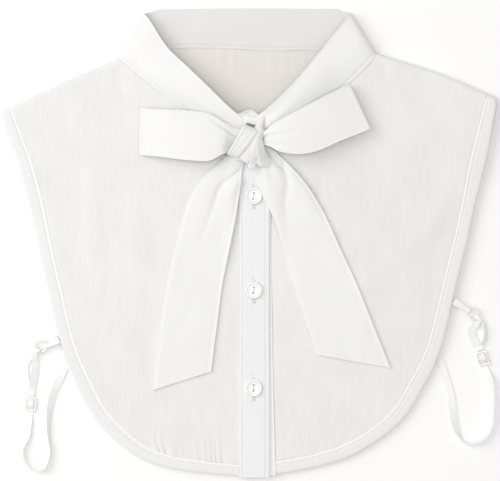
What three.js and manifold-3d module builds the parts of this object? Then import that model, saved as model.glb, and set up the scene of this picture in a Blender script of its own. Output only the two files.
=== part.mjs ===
// A detachable half-blouse collar lying on its back, front up: two semi-sheer front panels and a back
// panel joined at the shoulders, a stand collar whose long ends are tied in a bow, a button placket,
// bound edges, and an adjustable elastic strap at each side. Millimetres, +Z up, with the origin on the
// table under the middle of the collar. Left and right are those of a person who looks down on it.

import * as THREE from "three";
import { mergeVertices } from "three/addons/utils/BufferGeometryUtils.js";
import Module from "manifold-3d";

const wasm = await Module();
wasm.setup();

// Cloth
const panelCloth = 1;
const bandCloth = 1.2;
const bindingCloth = 1.6;
const placketCloth = 1.6;
const standCloth = 1.4;
const seamGap = 0.3;

// How high the middle of the front panels lies above the table: at the hem, then added to by the chest
// and by the stiff collar
const hemHeight = 3.8;
const chestLoft = 3.6;
const collarLoft = 1.6;
const collarCentreY = 80;
const collarReach = 50;

// Back panel: how far inside the front's outline it lies, and the width of its bound edge
const backInset = 1;
const backBindingWidth = 8.5;

// Placket and button stand, from the middle line
const placketLeft = -7.3;
const placketRight = 13.3;
const standLeft = 0.6;
const standRight = 18.2;
const placketTopY = 58;
const placketBottomY = -164.5;
const standBottomY = -163;
const placketAbove = 0.9;
const standBelow = 0.95;

// Buttons, with their profile from the middle of the underside over the rim to the sunken face
const buttonX = 2.5;
const buttonYs = [33, -33, -101.5];
const buttonProfile = [
  { radius: 0, height: 0 },
  { radius: 5.4, height: 0 },
  { radius: 6.2, height: 0.9 },
  { radius: 5.9, height: 2.3 },
  { radius: 5.1, height: 2.6 },
  { radius: 3.9, height: 1.8 },
  { radius: 0, height: 1.7 },
];
const buttonHoleRadius = 0.8;
const buttonHoleSpacing = 4;
const buttonHoleLength = 8;

// Side straps: flat elastic, a ring and a slider
const tapeWidth = 5;
const tapeCloth = 1;
const ringRadius = 4;
const ringWire = 0.75;
const ringHeight = 2.2;
const ringBunch = 0.6;
const ringLead = 2.4;
const ringSlack = 0.42;
const sliderWidth = 8;
const sliderLength = 10;
const sliderBar = 1;
const sliderCloth = 1;
const sliderBunch = 0.9;
const sliderEase = 0.2;
const sliderLead = 1.5;

// The front's outer edge from the shoulder to the placket: the outside of its binding, and the inside
const edges = {
  left: [
    { outX: -171.6, outY: 86.5, inX: -163.4, inY: 90.5 },
    { outX: -162.8, outY: 58.1, inX: -153.3, inY: 58.1 },
    { outX: -154.7, outY: 30.1, inX: -145.6, inY: 30.1 },
    { outX: -148.4, outY: 2.1, inX: -139.8, inY: 2.1 },
    { outX: -141.0, outY: -30.8, inX: -132.4, inY: -30.8 },
    { outX: -130.6, outY: -75.6, inX: -121.5, inY: -74.0 },
    { outX: -119.4, outY: -102.2, inX: -110.3, inY: -99.5 },
    { outX: -107.1, outY: -123.9, inX: -99.1, inY: -119.7 },
    { outX: -95.9, outY: -136.5, inX: -88.2, inY: -130.8 },
    { outX: -78.4, outY: -149.8, inX: -72.8, inY: -142.8 },
    { outX: -56.0, outY: -157.5, inX: -52.6, inY: -150.2 },
    { outX: -30.1, outY: -161.0, inX: -30.1, inY: -153.6 },
    { outX: -7.6, outY: -163.1, inX: -7.6, inY: -156.1 },
  ],
  right: [
    { outX: 171.4, outY: 94.7, inX: 163.6, inY: 98.5 },
    { outX: 164.9, outY: 58.1, inX: 154.4, inY: 58.1 },
    { outX: 157.9, outY: 30.1, inX: 149.2, inY: 30.1 },
    { outX: 151.9, outY: 2.1, inX: 143.1, inY: 2.1 },
    { outX: 144.9, outY: -26.0, inX: 136.2, inY: -26.0 },
    { outX: 132.0, outY: -77.7, inX: 123.0, inY: -76.0 },
    { outX: 120.1, outY: -102.2, inX: 111.0, inY: -99.5 },
    { outX: 108.5, outY: -121.1, inX: 101.2, inY: -116.2 },
    { outX: 93.1, outY: -135.1, inX: 86.9, inY: -129.4 },
    { outX: 70.0, outY: -149.1, inX: 66.0, inY: -141.6 },
    { outX: 51.8, outY: -155.0, inX: 48.6, inY: -147.4 },
    { outX: 35.0, outY: -158.9, inX: 34.0, inY: -151.0 },
    { outX: 18.5, outY: -161.7, inX: 18.5, inY: -153.6 },
  ],
};

// Where the front panel's four sides meet: the share of its outer edge that is its side, the share of
// its middle side that follows the neck, and how far from the tip its shoulder side starts
const cornerShare = 0.66;
const neckPart = 0.3;
const tipShare = 0.1;

// Where the back panel's four sides meet: the shares of its bound edge at its tips and at its lower
// corners, and the part of its top side that follows each shoulder
const backTipShare = 0.03;
const backCornerShare = 0.36;
const backShoulderPart = 0.3;
const backShoulderTip = 0.12;
const backRollLap = 1.5;
const backBindingTipShare = 0.025;

// The fold over each shoulder, as its outermost line from the tip to the neck
const shoulders = {
  left: [
    { x: -172.9, y: 91.0 },
    { x: -136.5, y: 108.5 },
    { x: -92.2, y: 128.6 },
  ],
  right: [
    { x: 172.9, y: 99.0 },
    { x: 135.0, y: 117.5 },
    { x: 91.0, y: 133.0 },
  ],
};
const shoulderMitre = 0.33;

// The collar band's two front stretches from the middle to the side folds: its sewn lower edge, its
// free top edge, and how far the top edge stands above the sewn one
const bandFronts = {
  left: [
    { seamX: -2.5, seamY: 60.0, topX: -2.3, topY: 85.0, lift: 4.0 },
    { seamX: -24.5, seamY: 74.8, topX: -13.5, topY: 94.0, lift: 6.5 },
    { seamX: -46.2, seamY: 93.1, topX: -31.0, topY: 111.0, lift: 7.5 },
    { seamX: -60.9, seamY: 104.3, topX: -44.0, topY: 123.5, lift: 6.0 },
    { seamX: -75.6, seamY: 116.0, topX: -58.1, topY: 137.2, lift: 4.0 },
  ],
  right: [
    { seamX: 3.0, seamY: 60.0, topX: 3.3, topY: 83.0, lift: 4.0 },
    { seamX: 25.0, seamY: 74.5, topX: 16.0, topY: 97.5, lift: 6.5 },
    { seamX: 46.0, seamY: 92.5, topX: 30.0, topY: 111.5, lift: 7.5 },
    { seamX: 60.0, seamY: 103.8, topX: 42.0, topY: 125.5, lift: 6.0 },
    { seamX: 73.0, seamY: 115.0, topX: 54.0, topY: 140.5, lift: 4.0 },
  ],
};
const bandFolds = {
  left: { seamX: -92.0, seamY: 128.4, topX: -74.4, topY: 160.8, lift: 2.5 },
  right: { seamX: 89.8, seamY: 131.0, topX: 71.0, topY: 161.2, lift: 2.5 },
};
const foldAngles = [90, 45, 0, -45, -90];
const foldMitreFront = 0.4;
const foldMitreBack = 1.1;

// The collar band's back stretch: its sewn edge dips towards the sides
const backSeamY = 137.2;
const backSeamDrop = 11;
const backSeamHalf = 88;
const bandBack = [
  { seamX: -68, topX: -63.5, topY: 163.7 },
  { seamX: -46, topX: -44, topY: 164.2 },
  { seamX: -15, topX: -15, topY: 164.5 },
  { seamX: 15, topX: 15, topY: 164.5 },
  { seamX: 46, topX: 44, topY: 164.3 },
  { seamX: 68, topX: 62.5, topY: 163.8 },
];

// The bow's loops from the knot to their folded ends: the two edges of the ribbon, and the heights of
// its lower and upper layer
const loops = {
  left: [
    { topX: -8.1, topY: 79.3, bottomX: -14.8, bottomY: 64.4, low: 15.0, high: 20.0 },
    { topX: -17.0, topY: 84.5, bottomX: -20.0, bottomY: 62.0, low: 14.6, high: 21.5 },
    { topX: -29.4, topY: 90.0, bottomX: -29.0, bottomY: 57.4, low: 15.0, high: 22.5 },
    { topX: -45.0, topY: 92.4, bottomX: -44.0, bottomY: 57.8, low: 14.6, high: 21.5 },
    { topX: -61.0, topY: 93.3, bottomX: -61.0, bottomY: 59.8, low: 12.6, high: 19.0 },
    { topX: -77.0, topY: 94.5, bottomX: -77.7, bottomY: 61.6, low: 10.4, high: 15.0 },
  ],
  right: [
    { topX: 9.6, topY: 77.0, bottomX: 12.5, bottomY: 67.6, low: 15.6, high: 20.4 },
    { topX: 16.5, topY: 83.0, bottomX: 20.5, bottomY: 64.4, low: 15.4, high: 22.0 },
    { topX: 26.0, topY: 88.4, bottomX: 32.0, bottomY: 62.4, low: 15.8, high: 23.0 },
    { topX: 40.0, topY: 96.0, bottomX: 46.0, bottomY: 64.0, low: 16.2, high: 22.4 },
    { topX: 55.0, topY: 104.0, bottomX: 65.0, bottomY: 72.0, low: 15.2, high: 20.6 },
    { topX: 70.0, topY: 111.3, bottomX: 84.7, bottomY: 79.8, low: 12.4, high: 17.2 },
  ],
};
const loopLayerShare = 0.42;
const loopPleats = 2;
const loopPleatDepth = 0.9;

// The bow's tails from the knot to their cut ends: the edge towards the side, the edge towards the
// middle, and the depth of the fold that runs down from the knot
const tails = {
  left: [
    { outX: -11.5, outY: 66.0, inX: -3.6, inY: 64.5, fold: 0.6 },
    { outX: -20.0, outY: 57.5, inX: -5.4, inY: 52.0, fold: 1.6 },
    { outX: -34.5, outY: 43.5, inX: -6.8, inY: 39.0, fold: 2.2 },
    { outX: -44.5, outY: 26.0, inX: -9.4, inY: 21.0, fold: 1.8 },
    { outX: -51.0, outY: 2.0, inX: -13.3, inY: 0.7, fold: 1.2 },
    { outX: -57.0, outY: -20.5, inX: -18.9, inY: -27.0, fold: 0.6 },
    { outX: -62.0, outY: -50.0, inX: -23.4, inY: -60.0, fold: 0 },
    { outX: -67.9, outY: -103.3, inX: -27.3, inY: -90.0, fold: 0 },
  ],
  right: [
    { outX: 10.5, outY: 66.5, inX: 3.2, inY: 64.5, fold: 0.6 },
    { outX: 24.5, outY: 56.0, inX: 7.0, inY: 51.0, fold: 1.6 },
    { outX: 39.2, outY: 41.3, inX: 9.6, inY: 36.0, fold: 2.4 },
    { outX: 50.4, outY: 21.0, inX: 15.0, inY: 17.0, fold: 2.2 },
    { outX: 61.6, outY: -4.2, inX: 23.8, inY: -4.2, fold: 1.4 },
    { outX: 72.8, outY: -26.6, inX: 32.0, inY: -28.0, fold: 0.8 },
    { outX: 84.0, outY: -53.2, inX: 39.6, inY: -55.3, fold: 0.3 },
    { outX: 98.4, outY: -87.5, inX: 48.3, inY: -78.1, fold: 0 },
  ],
};
const tailClearance = 0.5;
const tailOverPlacket = 1.3;
const tailClimbFrom = 14;
const tailClimbTo = 3;

// The knot: its plan outline, and its lowest and highest point
const knotOutline = [
  { x: -4.6, y: 82.4 },
  { x: 4.4, y: 79.4 },
  { x: 10.2, y: 73.0 },
  { x: 11.4, y: 62.0 },
  { x: 1.0, y: 53.4 },
  { x: -9.6, y: 57.4 },
  { x: -14.2, y: 63.4 },
  { x: -8.8, y: 74.0 },
];
const knotCentre = { x: -1.2, y: 67.4 };
const knotLow = 12.9;
const knotHigh = 27;
const knotFullness = 0.8;
const knotRidge = { height: 0.9, acrossX: 0.75, acrossY: -0.35 };
const knotAround = 20;
const knotRings = 8;

// Soft folds and slubby ridges of the front panels, as straight lines on the cloth
const panelFolds = [
  { fromX: 150, fromY: 55, toX: 126, toY: 9, rise: 0.9, spread: 9 },
  { fromX: 126, fromY: 9, toX: 80, toY: -30, rise: 0.9, spread: 11 },
  { fromX: -110, fromY: 44, toX: -108, toY: -34, rise: 0.5, spread: 7 },
  { fromX: -80, fromY: 16, toX: -80, toY: -34, rise: 0.5, spread: 6 },
];

// The side straps: where the tab leaves the front edge, the ring, the slider, and the elastic's way
// from the slider's bar through the ring and the slider to the back panel, with the turn of its width
// away from flat, in degrees
const straps = {
  left: {
    tab: { x: -134.0, y: -67.4, headingX: -0.98, headingY: -0.2 },
    ring: { x: -146.6, y: -72.6 },
    slider: { x: -154.2, y: -113.0, heading: -94 },
    inner: [
      { x: -152.4, y: -99.0, turn: 60 },
      { x: -150.8, y: -88.0, turn: 60 },
    ],
    outer: [
      { x: -157.4, y: -84.0, turn: 0 },
      { x: -157.6, y: -95.0, turn: 0 },
    ],
    loop: [
      { x: -156.4, y: -134.0, turn: 20 },
      { x: -160.2, y: -148.0, turn: 60 },
      { x: -153.6, y: -158.6, turn: 90 },
      { x: -145.0, y: -158.8, turn: 90 },
      { x: -140.2, y: -149.0, turn: 80 },
      { x: -141.4, y: -130.0, turn: 60 },
      { x: -139.4, y: -110.0, turn: 30 },
    ],
    end: { x: -130.4, y: -88.0 },
  },
  right: {
    tab: { x: 142.9, y: -40.8, headingX: 0.84, headingY: -0.54 },
    ring: { x: 156.4, y: -49.4 },
    slider: { x: 163.0, y: -81.0, heading: -76 },
    inner: [
      { x: 158.4, y: -70.0, turn: 60 },
      { x: 155.6, y: -62.0, turn: 60 },
    ],
    outer: [
      { x: 164.4, y: -58.0, turn: 0 },
      { x: 164.6, y: -68.0, turn: 0 },
    ],
    loop: [
      { x: 169.6, y: -97.0, turn: 60 },
      { x: 171.3, y: -112.0, turn: 90 },
      { x: 168.6, y: -132.0, turn: 90 },
      { x: 160.6, y: -139.6, turn: 90 },
      { x: 150.6, y: -140.0, turn: 80 },
      { x: 144.4, y: -129.0, turn: 30 },
      { x: 140.8, y: -106.0, turn: 0 },
    ],
    end: { x: 133.0, y: -80.4 },
  },
};

// How finely each cloth wall is divided
const steps = {
  frontPanel: { across: 10, along: 18 },
  frontBinding: { across: 1, along: 36 },
  backPanel: { across: 20, along: 10 },
  backRoll: { across: 6, along: 8 },
  backBinding: { across: 1, along: 50 },
  frontStrip: { across: 2, along: 22 },
  bowLoop: { across: 8, along: 26 },
  bowTail: { across: 6, along: 18 },
};
const bandStepsAcross = 4;
const bandStepsPerRow = 2;
const tapeStepsPerStation = 3;
const tapeSteep = 0.3;

const voile = new THREE.MeshStandardMaterial({ color: 0xe9e9ea, roughness: 0.9, metalness: 0 });
const cotton = new THREE.MeshStandardMaterial({ color: 0xf7f7f5, roughness: 0.85, metalness: 0 });
const trim = new THREE.MeshStandardMaterial({ color: 0xf4f3ef, roughness: 0.85, metalness: 0 });
const shell = new THREE.MeshStandardMaterial({ color: 0xf6f4f0, roughness: 0.3, metalness: 0 });
const elastic = new THREE.MeshStandardMaterial({ color: 0xf3f3f2, roughness: 0.8, metalness: 0 });
const nylon = new THREE.MeshStandardMaterial({ color: 0xf1f0ee, roughness: 0.4, metalness: 0 });

// 0 before from, 1 past to, and a soft step between them, whichever of the two is larger.
function ramp(from, to, value) {
  const t = THREE.MathUtils.clamp((value - from) / (to - from), 0, 1);
  return t * t * (3 - 2 * t);
}

// How far a point lies from the line between two ends of a fold.
function foldDistance(fold, x, y) {
  const runX = fold.toX - fold.fromX;
  const runY = fold.toY - fold.fromY;
  const along = ((x - fold.fromX) * runX + (y - fold.fromY) * runY) / (runX * runX + runY * runY);
  const t = THREE.MathUtils.clamp(along, 0, 1);
  return Math.hypot(x - fold.fromX - t * runX, y - fold.fromY - t * runY);
}

// The middle of the front panels' cloth above the table.
function frontHeight(x, y) {
  const raised = ramp(-125, -15, y);
  const slack = 1 - 0.6 * ramp(80, 150, Math.abs(x)) * ramp(90, 30, y);
  const collar = Math.exp(-(x * x + (y - collarCentreY) ** 2) / (2 * collarReach * collarReach));
  let height = hemHeight + chestLoft * raised * slack + collarLoft * collar;
  for (const fold of panelFolds)
    height += fold.rise * Math.exp(-((foldDistance(fold, x, y) / fold.spread) ** 2));
  return height;
}

function curveThrough(points) {
  return new THREE.CatmullRomCurve3(points, false, "centripetal");
}

function pointAmong(rows, position, value) {
  const place = position * (rows.length - 1);
  const row = Math.min(Math.floor(place), rows.length - 2);
  const t = ramp(0, 1, place - row);
  return THREE.MathUtils.lerp(rows[row][value], rows[row + 1][value], t);
}

function meshOf(name, geometry, material) {
  const mesh = new THREE.Mesh(geometry, material);
  mesh.name = name;
  return mesh;
}

function geometryOf(positions, faces) {
  const geometry = new THREE.BufferGeometry();
  geometry.setAttribute("position", new THREE.Float32BufferAttribute(positions, 3));
  geometry.setIndex(faces);
  geometry.computeVertexNormals();
  return geometry;
}

// A cloth wall around the middle surface point(u, v), whose shares u across it and v along it run from
// 0 to 1. Its face looks to where a right-handed turn from across to along points.
function sheet(point, { across: acrossSteps, along: alongSteps }, thickness) {
  const width = acrossSteps + 1;
  const middle = [];
  for (let j = 0; j <= alongSteps; j++)
    for (let i = 0; i <= acrossSteps; i++) middle.push(point(i / acrossSteps, j / alongSteps));
  const at = (i, j) => j * width + i;
  const face = [];
  const back = [];
  for (let j = 0; j <= alongSteps; j++)
    for (let i = 0; i <= acrossSteps; i++) {
      const across = middle[at(Math.min(i + 1, acrossSteps), j)]
        .clone()
        .sub(middle[at(Math.max(i - 1, 0), j)]);
      const along = middle[at(i, Math.min(j + 1, alongSteps))]
        .clone()
        .sub(middle[at(i, Math.max(j - 1, 0))]);
      const half = across.cross(along).setLength(thickness / 2);
      face.push(middle[at(i, j)].clone().add(half));
      back.push(middle[at(i, j)].clone().sub(half));
    }
  const under = middle.length;
  const faces = [];
  for (let j = 0; j < alongSteps; j++)
    for (let i = 0; i < acrossSteps; i++) {
      const [a, b, c, d] = [at(i, j), at(i + 1, j), at(i + 1, j + 1), at(i, j + 1)];
      faces.push(a, b, c, a, c, d);
      faces.push(under + a, under + c, under + b, under + a, under + d, under + c);
    }
  const rim = [];
  for (let i = 0; i < acrossSteps; i++) rim.push(at(i, 0));
  for (let j = 0; j < alongSteps; j++) rim.push(at(acrossSteps, j));
  for (let i = acrossSteps; i > 0; i--) rim.push(at(i, alongSteps));
  for (let j = alongSteps; j > 0; j--) rim.push(at(0, j));
  rim.forEach((a, k) => {
    const b = rim[(k + 1) % rim.length];
    faces.push(under + a, under + b, b, under + a, b, a);
  });
  return geometryOf([...face, ...back].flatMap((p) => p.toArray()), faces);
}

// A four-sided patch between its edges: across at the start and the end, along on the two sides.
function patch(start, end, near, far) {
  const corner = [start(0), start(1), end(0), end(1)];
  return (u, v) =>
    new THREE.Vector3()
      .addScaledVector(start(u), 1 - v)
      .addScaledVector(end(u), v)
      .addScaledVector(near(v), 1 - u)
      .addScaledVector(far(v), u)
      .addScaledVector(corner[0], -(1 - u) * (1 - v))
      .addScaledVector(corner[1], -u * (1 - v))
      .addScaledVector(corner[2], -(1 - u) * v)
      .addScaledVector(corner[3], -u * v);
}

function solidFrom(geometry) {
  const bare = geometry.clone();
  bare.deleteAttribute("normal");
  bare.deleteAttribute("uv");
  const merged = mergeVertices(bare, 1e-4);
  return new wasm.Manifold(
    new wasm.Mesh({
      numProp: 3,
      vertProperties: new Float32Array(merged.attributes.position.array),
      triVerts: new Uint32Array(merged.index.array),
    }),
  );
}

function geometryFrom(solid) {
  const mesh = solid.getMesh();
  return geometryOf([...mesh.vertProperties], [...mesh.triVerts]);
}

// The middle line of a shoulder's fold: a share of the way from the tip to the neck, and an angle from
// straight down, on the table, to straight up, at the seam with the front panel.
function shoulderPoint(side, share, angle) {
  const rows = shoulders[side].map((row) => new THREE.Vector3(row.x, row.y, 0));
  const line = curveThrough(rows);
  const turn = side === "left" ? 1 : -1;
  const outward = Math.cos(angle);
  const seam = line.getPoint(share);
  const radius = (frontHeight(seam.x, seam.y) - panelCloth / 2) / 2;
  const mitred = share * (1 - (outward * radius * shoulderMitre) / line.getLength());
  const place = line.getPoint(mitred);
  const tangent = line.getTangent(mitred);
  const out = new THREE.Vector3(-tangent.y * turn, tangent.x * turn, 0);
  place.addScaledVector(out, radius * (outward - 1) - panelCloth / 2);
  place.z = panelCloth / 2 + radius * (1 + Math.sin(angle));
  return place;
}

// The sewn lower edge of the collar band's front stretch, from the side fold to the middle.
function neckline(side, share) {
  const rows = bandFronts[side].map((row) => new THREE.Vector3(row.seamX, row.seamY, 0)).reverse();
  const start = foldCentre(side, 0);
  return curveThrough([new THREE.Vector3(start.x, start.y, 0), ...rows]).getPoint(share);
}

// The share of the neckline at which it has come in as far as x.
function necklineShareAt(side, x) {
  let [low, high] = [0, 1];
  for (let step = 0; step < 20; step++) {
    const middle = (low + high) / 2;
    if (Math.abs(neckline(side, middle).x) > Math.abs(x)) low = middle;
    else high = middle;
  }
  return low;
}

// The middle of the side fold's round, at the sewn edge (0) or the top edge (1) of the band.
function foldCentre(side, share) {
  const fold = bandFolds[side];
  const seam = new THREE.Vector3(fold.seamX, fold.seamY, 0);
  const top = new THREE.Vector3(fold.topX, fold.topY, 0);
  const axis = top.clone().sub(seam).normalize();
  const turn = side === "left" ? 1 : -1;
  const out = new THREE.Vector3(-axis.y * turn, axis.x * turn, 0);
  const place = seam.lerp(top, share);
  const radius = (frontHeight(place.x, place.y) + share * fold.lift - bandCloth / 2) / 2;
  place.addScaledVector(out, -radius - bandCloth / 2);
  place.z = bandCloth / 2 + radius;
  return Object.assign(place, { radius, out, axis });
}

function frontPanel(side) {
  const turn = side === "left" ? 1 : -1;
  const inner = curveThrough(edges[side].map((row) => new THREE.Vector3(row.inX, row.inY, 0)));
  const insideEdge = (t) => {
    const tangent = inner.getTangent(t);
    const inward = new THREE.Vector3(-tangent.y, tangent.x, 0);
    return inner.getPoint(t).addScaledVector(inward, seamGap * turn);
  };
  const placketX = side === "left" ? placketLeft - seamGap : standRight + seamGap;
  const neckShare = necklineShareAt(side, placketX);
  const below = new THREE.Vector3(0, -3 * seamGap, 0);
  const neckEnd = neckline(side, neckShare).add(below);
  const hemEnd = insideEdge(1).setX(placketX);
  const middleEdge = (v) =>
    v < neckPart
      ? neckline(side, (neckShare * v) / neckPart).add(below)
      : neckEnd.clone().lerp(hemEnd, (v - neckPart) / (1 - neckPart));
  const onShoulder = (u) => {
    const share = THREE.MathUtils.lerp(tipShare, 1, u);
    return shoulderPoint(side, share, Math.PI / 2).setZ(0).add(below);
  };
  const startShift = insideEdge(0).sub(onShoulder(0));
  const stopShift = middleEdge(0).sub(onShoulder(1));
  const shoulderEdge = (u) =>
    onShoulder(u).addScaledVector(startShift, 1 - u).addScaledVector(stopShift, u);
  const flat = patch(
    shoulderEdge,
    (u) => insideEdge(cornerShare + (1 - cornerShare) * u).lerp(hemEnd, ramp(0.9, 1, u)),
    (v) => insideEdge(cornerShare * v),
    middleEdge,
  );
  const point = (u, v) => {
    const place = side === "left" ? flat(u, 1 - v) : flat(1 - u, 1 - v);
    return place.setZ(frontHeight(place.x, place.y));
  };
  return meshOf("front_panel_" + side, sheet(point, steps.frontPanel, panelCloth), voile);
}

function frontBinding(side) {
  const outer = curveThrough(edges[side].map((row) => new THREE.Vector3(row.outX, row.outY, 0)));
  const inner = curveThrough(edges[side].map((row) => new THREE.Vector3(row.inX, row.inY, 0)));
  const point = (u, v) => {
    const place = outer.getPoint(v).lerp(inner.getPoint(v), side === "left" ? 1 - u : u);
    return place.setZ(frontHeight(place.x, place.y));
  };
  return meshOf("front_binding_" + side, sheet(point, steps.frontBinding, bindingCloth), trim);
}

// The back panel's bound edge runs all round, a little inside the front's.
function backEdge() {
  const rows = [...edges.left, ...edges.right.slice().reverse()];
  return curveThrough(rows.map((row) => new THREE.Vector3(row.outX, row.outY, 0)));
}

function backEdgeInside(line, t, inset) {
  const tangent = line.getTangent(t);
  return line.getPoint(t).addScaledVector(new THREE.Vector3(-tangent.y, tangent.x, 0), inset);
}

function backBinding() {
  const line = backEdge();
  const point = (u, v) => {
    const t = THREE.MathUtils.lerp(backBindingTipShare, 1 - backBindingTipShare, v);
    return backEdgeInside(line, t, backInset + (1 - u) * backBindingWidth).setZ(bindingCloth / 2);
  };
  return meshOf("back_binding", sheet(point, steps.backBinding, bindingCloth), trim);
}

function backSeam(x) {
  return backSeamY - backSeamDrop * Math.abs(x / backSeamHalf) ** 3;
}

// The back panel's strip that rolls up over a shoulder to the seam with the front panel.
function shoulderRoll(side) {
  const point = (u, v) => {
    const share = side === "left" ? 1 - v : v;
    const turned = Math.max(0, u * 1.2 - 0.2);
    const place = shoulderPoint(side, share, THREE.MathUtils.lerp(-Math.PI / 2, Math.PI / 2, turned));
    if (u > 0) return place;
    const inward = shoulderPoint(side, share, Math.PI / 2).sub(shoulderPoint(side, share, 0));
    return place.addScaledVector(inward.setZ(0).normalize(), backRollLap);
  };
  return solidFrom(sheet(point, steps.backRoll, panelCloth));
}

function backPanel() {
  const line = backEdge();
  const edgeAt = (t) => backEdgeInside(line, t, backInset + backBindingWidth + seamGap);
  const shoulder = (side, share) => shoulderPoint(side, share, -Math.PI / 2).setZ(0);
  const topEdge = (u) => {
    const left = u / backShoulderPart;
    const right = (1 - u) / backShoulderPart;
    if (left < 1) return shoulder("left", backShoulderTip).lerp(shoulder("left", 1), left);
    if (right < 1) return shoulder("right", backShoulderTip).lerp(shoulder("right", 1), right);
    const across = (left - 1) / (left + right - 2);
    const x = THREE.MathUtils.lerp(shoulder("left", 1).x, shoulder("right", 1).x, across);
    return new THREE.Vector3(x, backSeam(x) - 2 * seamGap, 0);
  };
  const sideEdge = (from, to, top) => (v) =>
    edgeAt(THREE.MathUtils.lerp(from, to, v)).lerp(top, ramp(0.1, 0, v));
  const flat = patch(
    topEdge,
    (u) => edgeAt(THREE.MathUtils.lerp(backCornerShare, 1 - backCornerShare, u)),
    sideEdge(backTipShare, backCornerShare, topEdge(0)),
    sideEdge(1 - backTipShare, 1 - backCornerShare, topEdge(1)),
  );
  const middle = (u, v) => flat(u, 1 - v).setZ(panelCloth / 2);
  const solid = solidFrom(sheet(middle, steps.backPanel, panelCloth))
    .add(shoulderRoll("left"))
    .add(shoulderRoll("right"));
  return meshOf("back_panel", geometryFrom(solid), voile);
}

// The band is one strip: the left front stretch, the fold, the back with its inner face up, the other
// fold and the right front stretch. At each fold both edges keep the directions they have beside it.
function collarBand() {
  const front = (side) =>
    bandFronts[side].map((row) => ({
      seam: new THREE.Vector3(row.seamX, row.seamY, frontHeight(row.seamX, row.seamY)),
      top: new THREE.Vector3(row.topX, row.topY, frontHeight(row.topX, row.topY) + row.lift),
    }));
  const fold = (side) =>
    foldAngles.map((degrees) => {
      const angle = THREE.MathUtils.degToRad(degrees);
      const mitre = degrees < 0 ? foldMitreBack : -foldMitreFront;
      const [seam, top] = [0, 1].map((share) => {
        const { x, y, z, radius, out, axis } = foldCentre(side, share);
        const sewn = (1 - share) * Math.cos(angle) * shoulderMitre;
        const free = share * (1 - Math.cos(angle)) * mitre;
        return new THREE.Vector3(x, y, z + radius * Math.sin(angle))
          .addScaledVector(out, radius * Math.cos(angle))
          .addScaledVector(axis, radius * (sewn + free));
      });
      return { seam, top };
    });
  const back = bandBack.map(({ seamX, topX, topY }) => ({
    seam: new THREE.Vector3(seamX, backSeam(seamX) + seamGap, bandCloth / 2),
    top: new THREE.Vector3(topX, topY, bandCloth / 2),
  }));
  const rows = [
    ...front("left"),
    ...fold("left"),
    ...back,
    ...fold("right").reverse(),
    ...front("right").reverse(),
  ];
  const seam = curveThrough(rows.map((row) => row.seam));
  const top = curveThrough(rows.map((row) => row.top));
  const point = (u, v) => {
    const place = seam.getPoint(v).lerp(top.getPoint(v), 1 - u);
    return place.setZ(Math.max(place.z, bandCloth / 2));
  };
  const divided = { across: bandStepsAcross, along: bandStepsPerRow * (rows.length - 1) };
  return meshOf("collar_band", sheet(point, divided, bandCloth), cotton);
}

// A strip that runs down the front panels' middle, above or below their cloth.
function frontStrip(name, { left, right, bottomY, above, thickness, material }) {
  const point = (u, v) => {
    const x = THREE.MathUtils.lerp(left, right, u);
    const y = THREE.MathUtils.lerp(bottomY, placketTopY, v);
    return new THREE.Vector3(x, y, frontHeight(x, y) + above);
  };
  return meshOf(name, sheet(point, steps.frontStrip, thickness), material);
}

function button(index) {
  const profile = buttonProfile.map((row) => new THREE.Vector2(row.radius, row.height));
  const disc = new THREE.LatheGeometry(profile, 20);
  disc.rotateX(Math.PI / 2);
  let solid = solidFrom(disc);
  for (const side of [-1, 1]) {
    const hole = new THREE.CylinderGeometry(buttonHoleRadius, buttonHoleRadius, buttonHoleLength, 10);
    hole.rotateX(Math.PI / 2);
    hole.translate(0, (side * buttonHoleSpacing) / 2, 0);
    solid = solid.subtract(solidFrom(hole));
  }
  const y = buttonYs[index];
  const mesh = meshOf("button_" + (index + 1), geometryFrom(solid), shell);
  const placketFace = frontHeight(buttonX, y) + placketAbove + placketCloth / 2;
  mesh.position.set(buttonX, y, placketFace + seamGap);
  return mesh;
}

// A loop is a flattened tube of ribbon: its lower layer, the round of its folded end and its upper layer,
// gathered into pleats at the knot.
function bowLoop(side) {
  const rows = loops[side];
  const topLine = curveThrough(rows.map((row) => new THREE.Vector3(row.topX, row.topY, 0)));
  const bottomLine = curveThrough(rows.map((row) => new THREE.Vector3(row.bottomX, row.bottomY, 0)));
  const out = topLine.getTangent(1).add(bottomLine.getTangent(1)).normalize();
  const last = rows[rows.length - 1];
  const radius = (last.high - last.low) / 2;
  const point = (u, v) => {
    const across = side === "left" ? u : 1 - u;
    const lower = v < loopLayerShare;
    const onFold = !lower && v <= 1 - loopLayerShare;
    const share = onFold ? 1 : Math.min(v, 1 - v) / loopLayerShare;
    const place = topLine.getPoint(share).lerp(bottomLine.getPoint(share), 1 - across);
    place.addScaledVector(out, -(radius + bandCloth / 2) * share);
    if (onFold) {
      const angle = (Math.PI * (v - 0.5)) / (1 - 2 * loopLayerShare);
      place.addScaledVector(out, radius * Math.cos(angle));
      return place.setZ((last.low + last.high) / 2 + radius * Math.sin(angle));
    }
    const layer = pointAmong(rows, share, lower ? "low" : "high");
    const gathered = loopPleatDepth * (1 - share) ** 2;
    return place.setZ(layer + gathered * Math.cos(2 * Math.PI * loopPleats * across));
  };
  return meshOf("bow_loop_" + side, sheet(point, steps.bowLoop, bandCloth), cotton);
}

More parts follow.
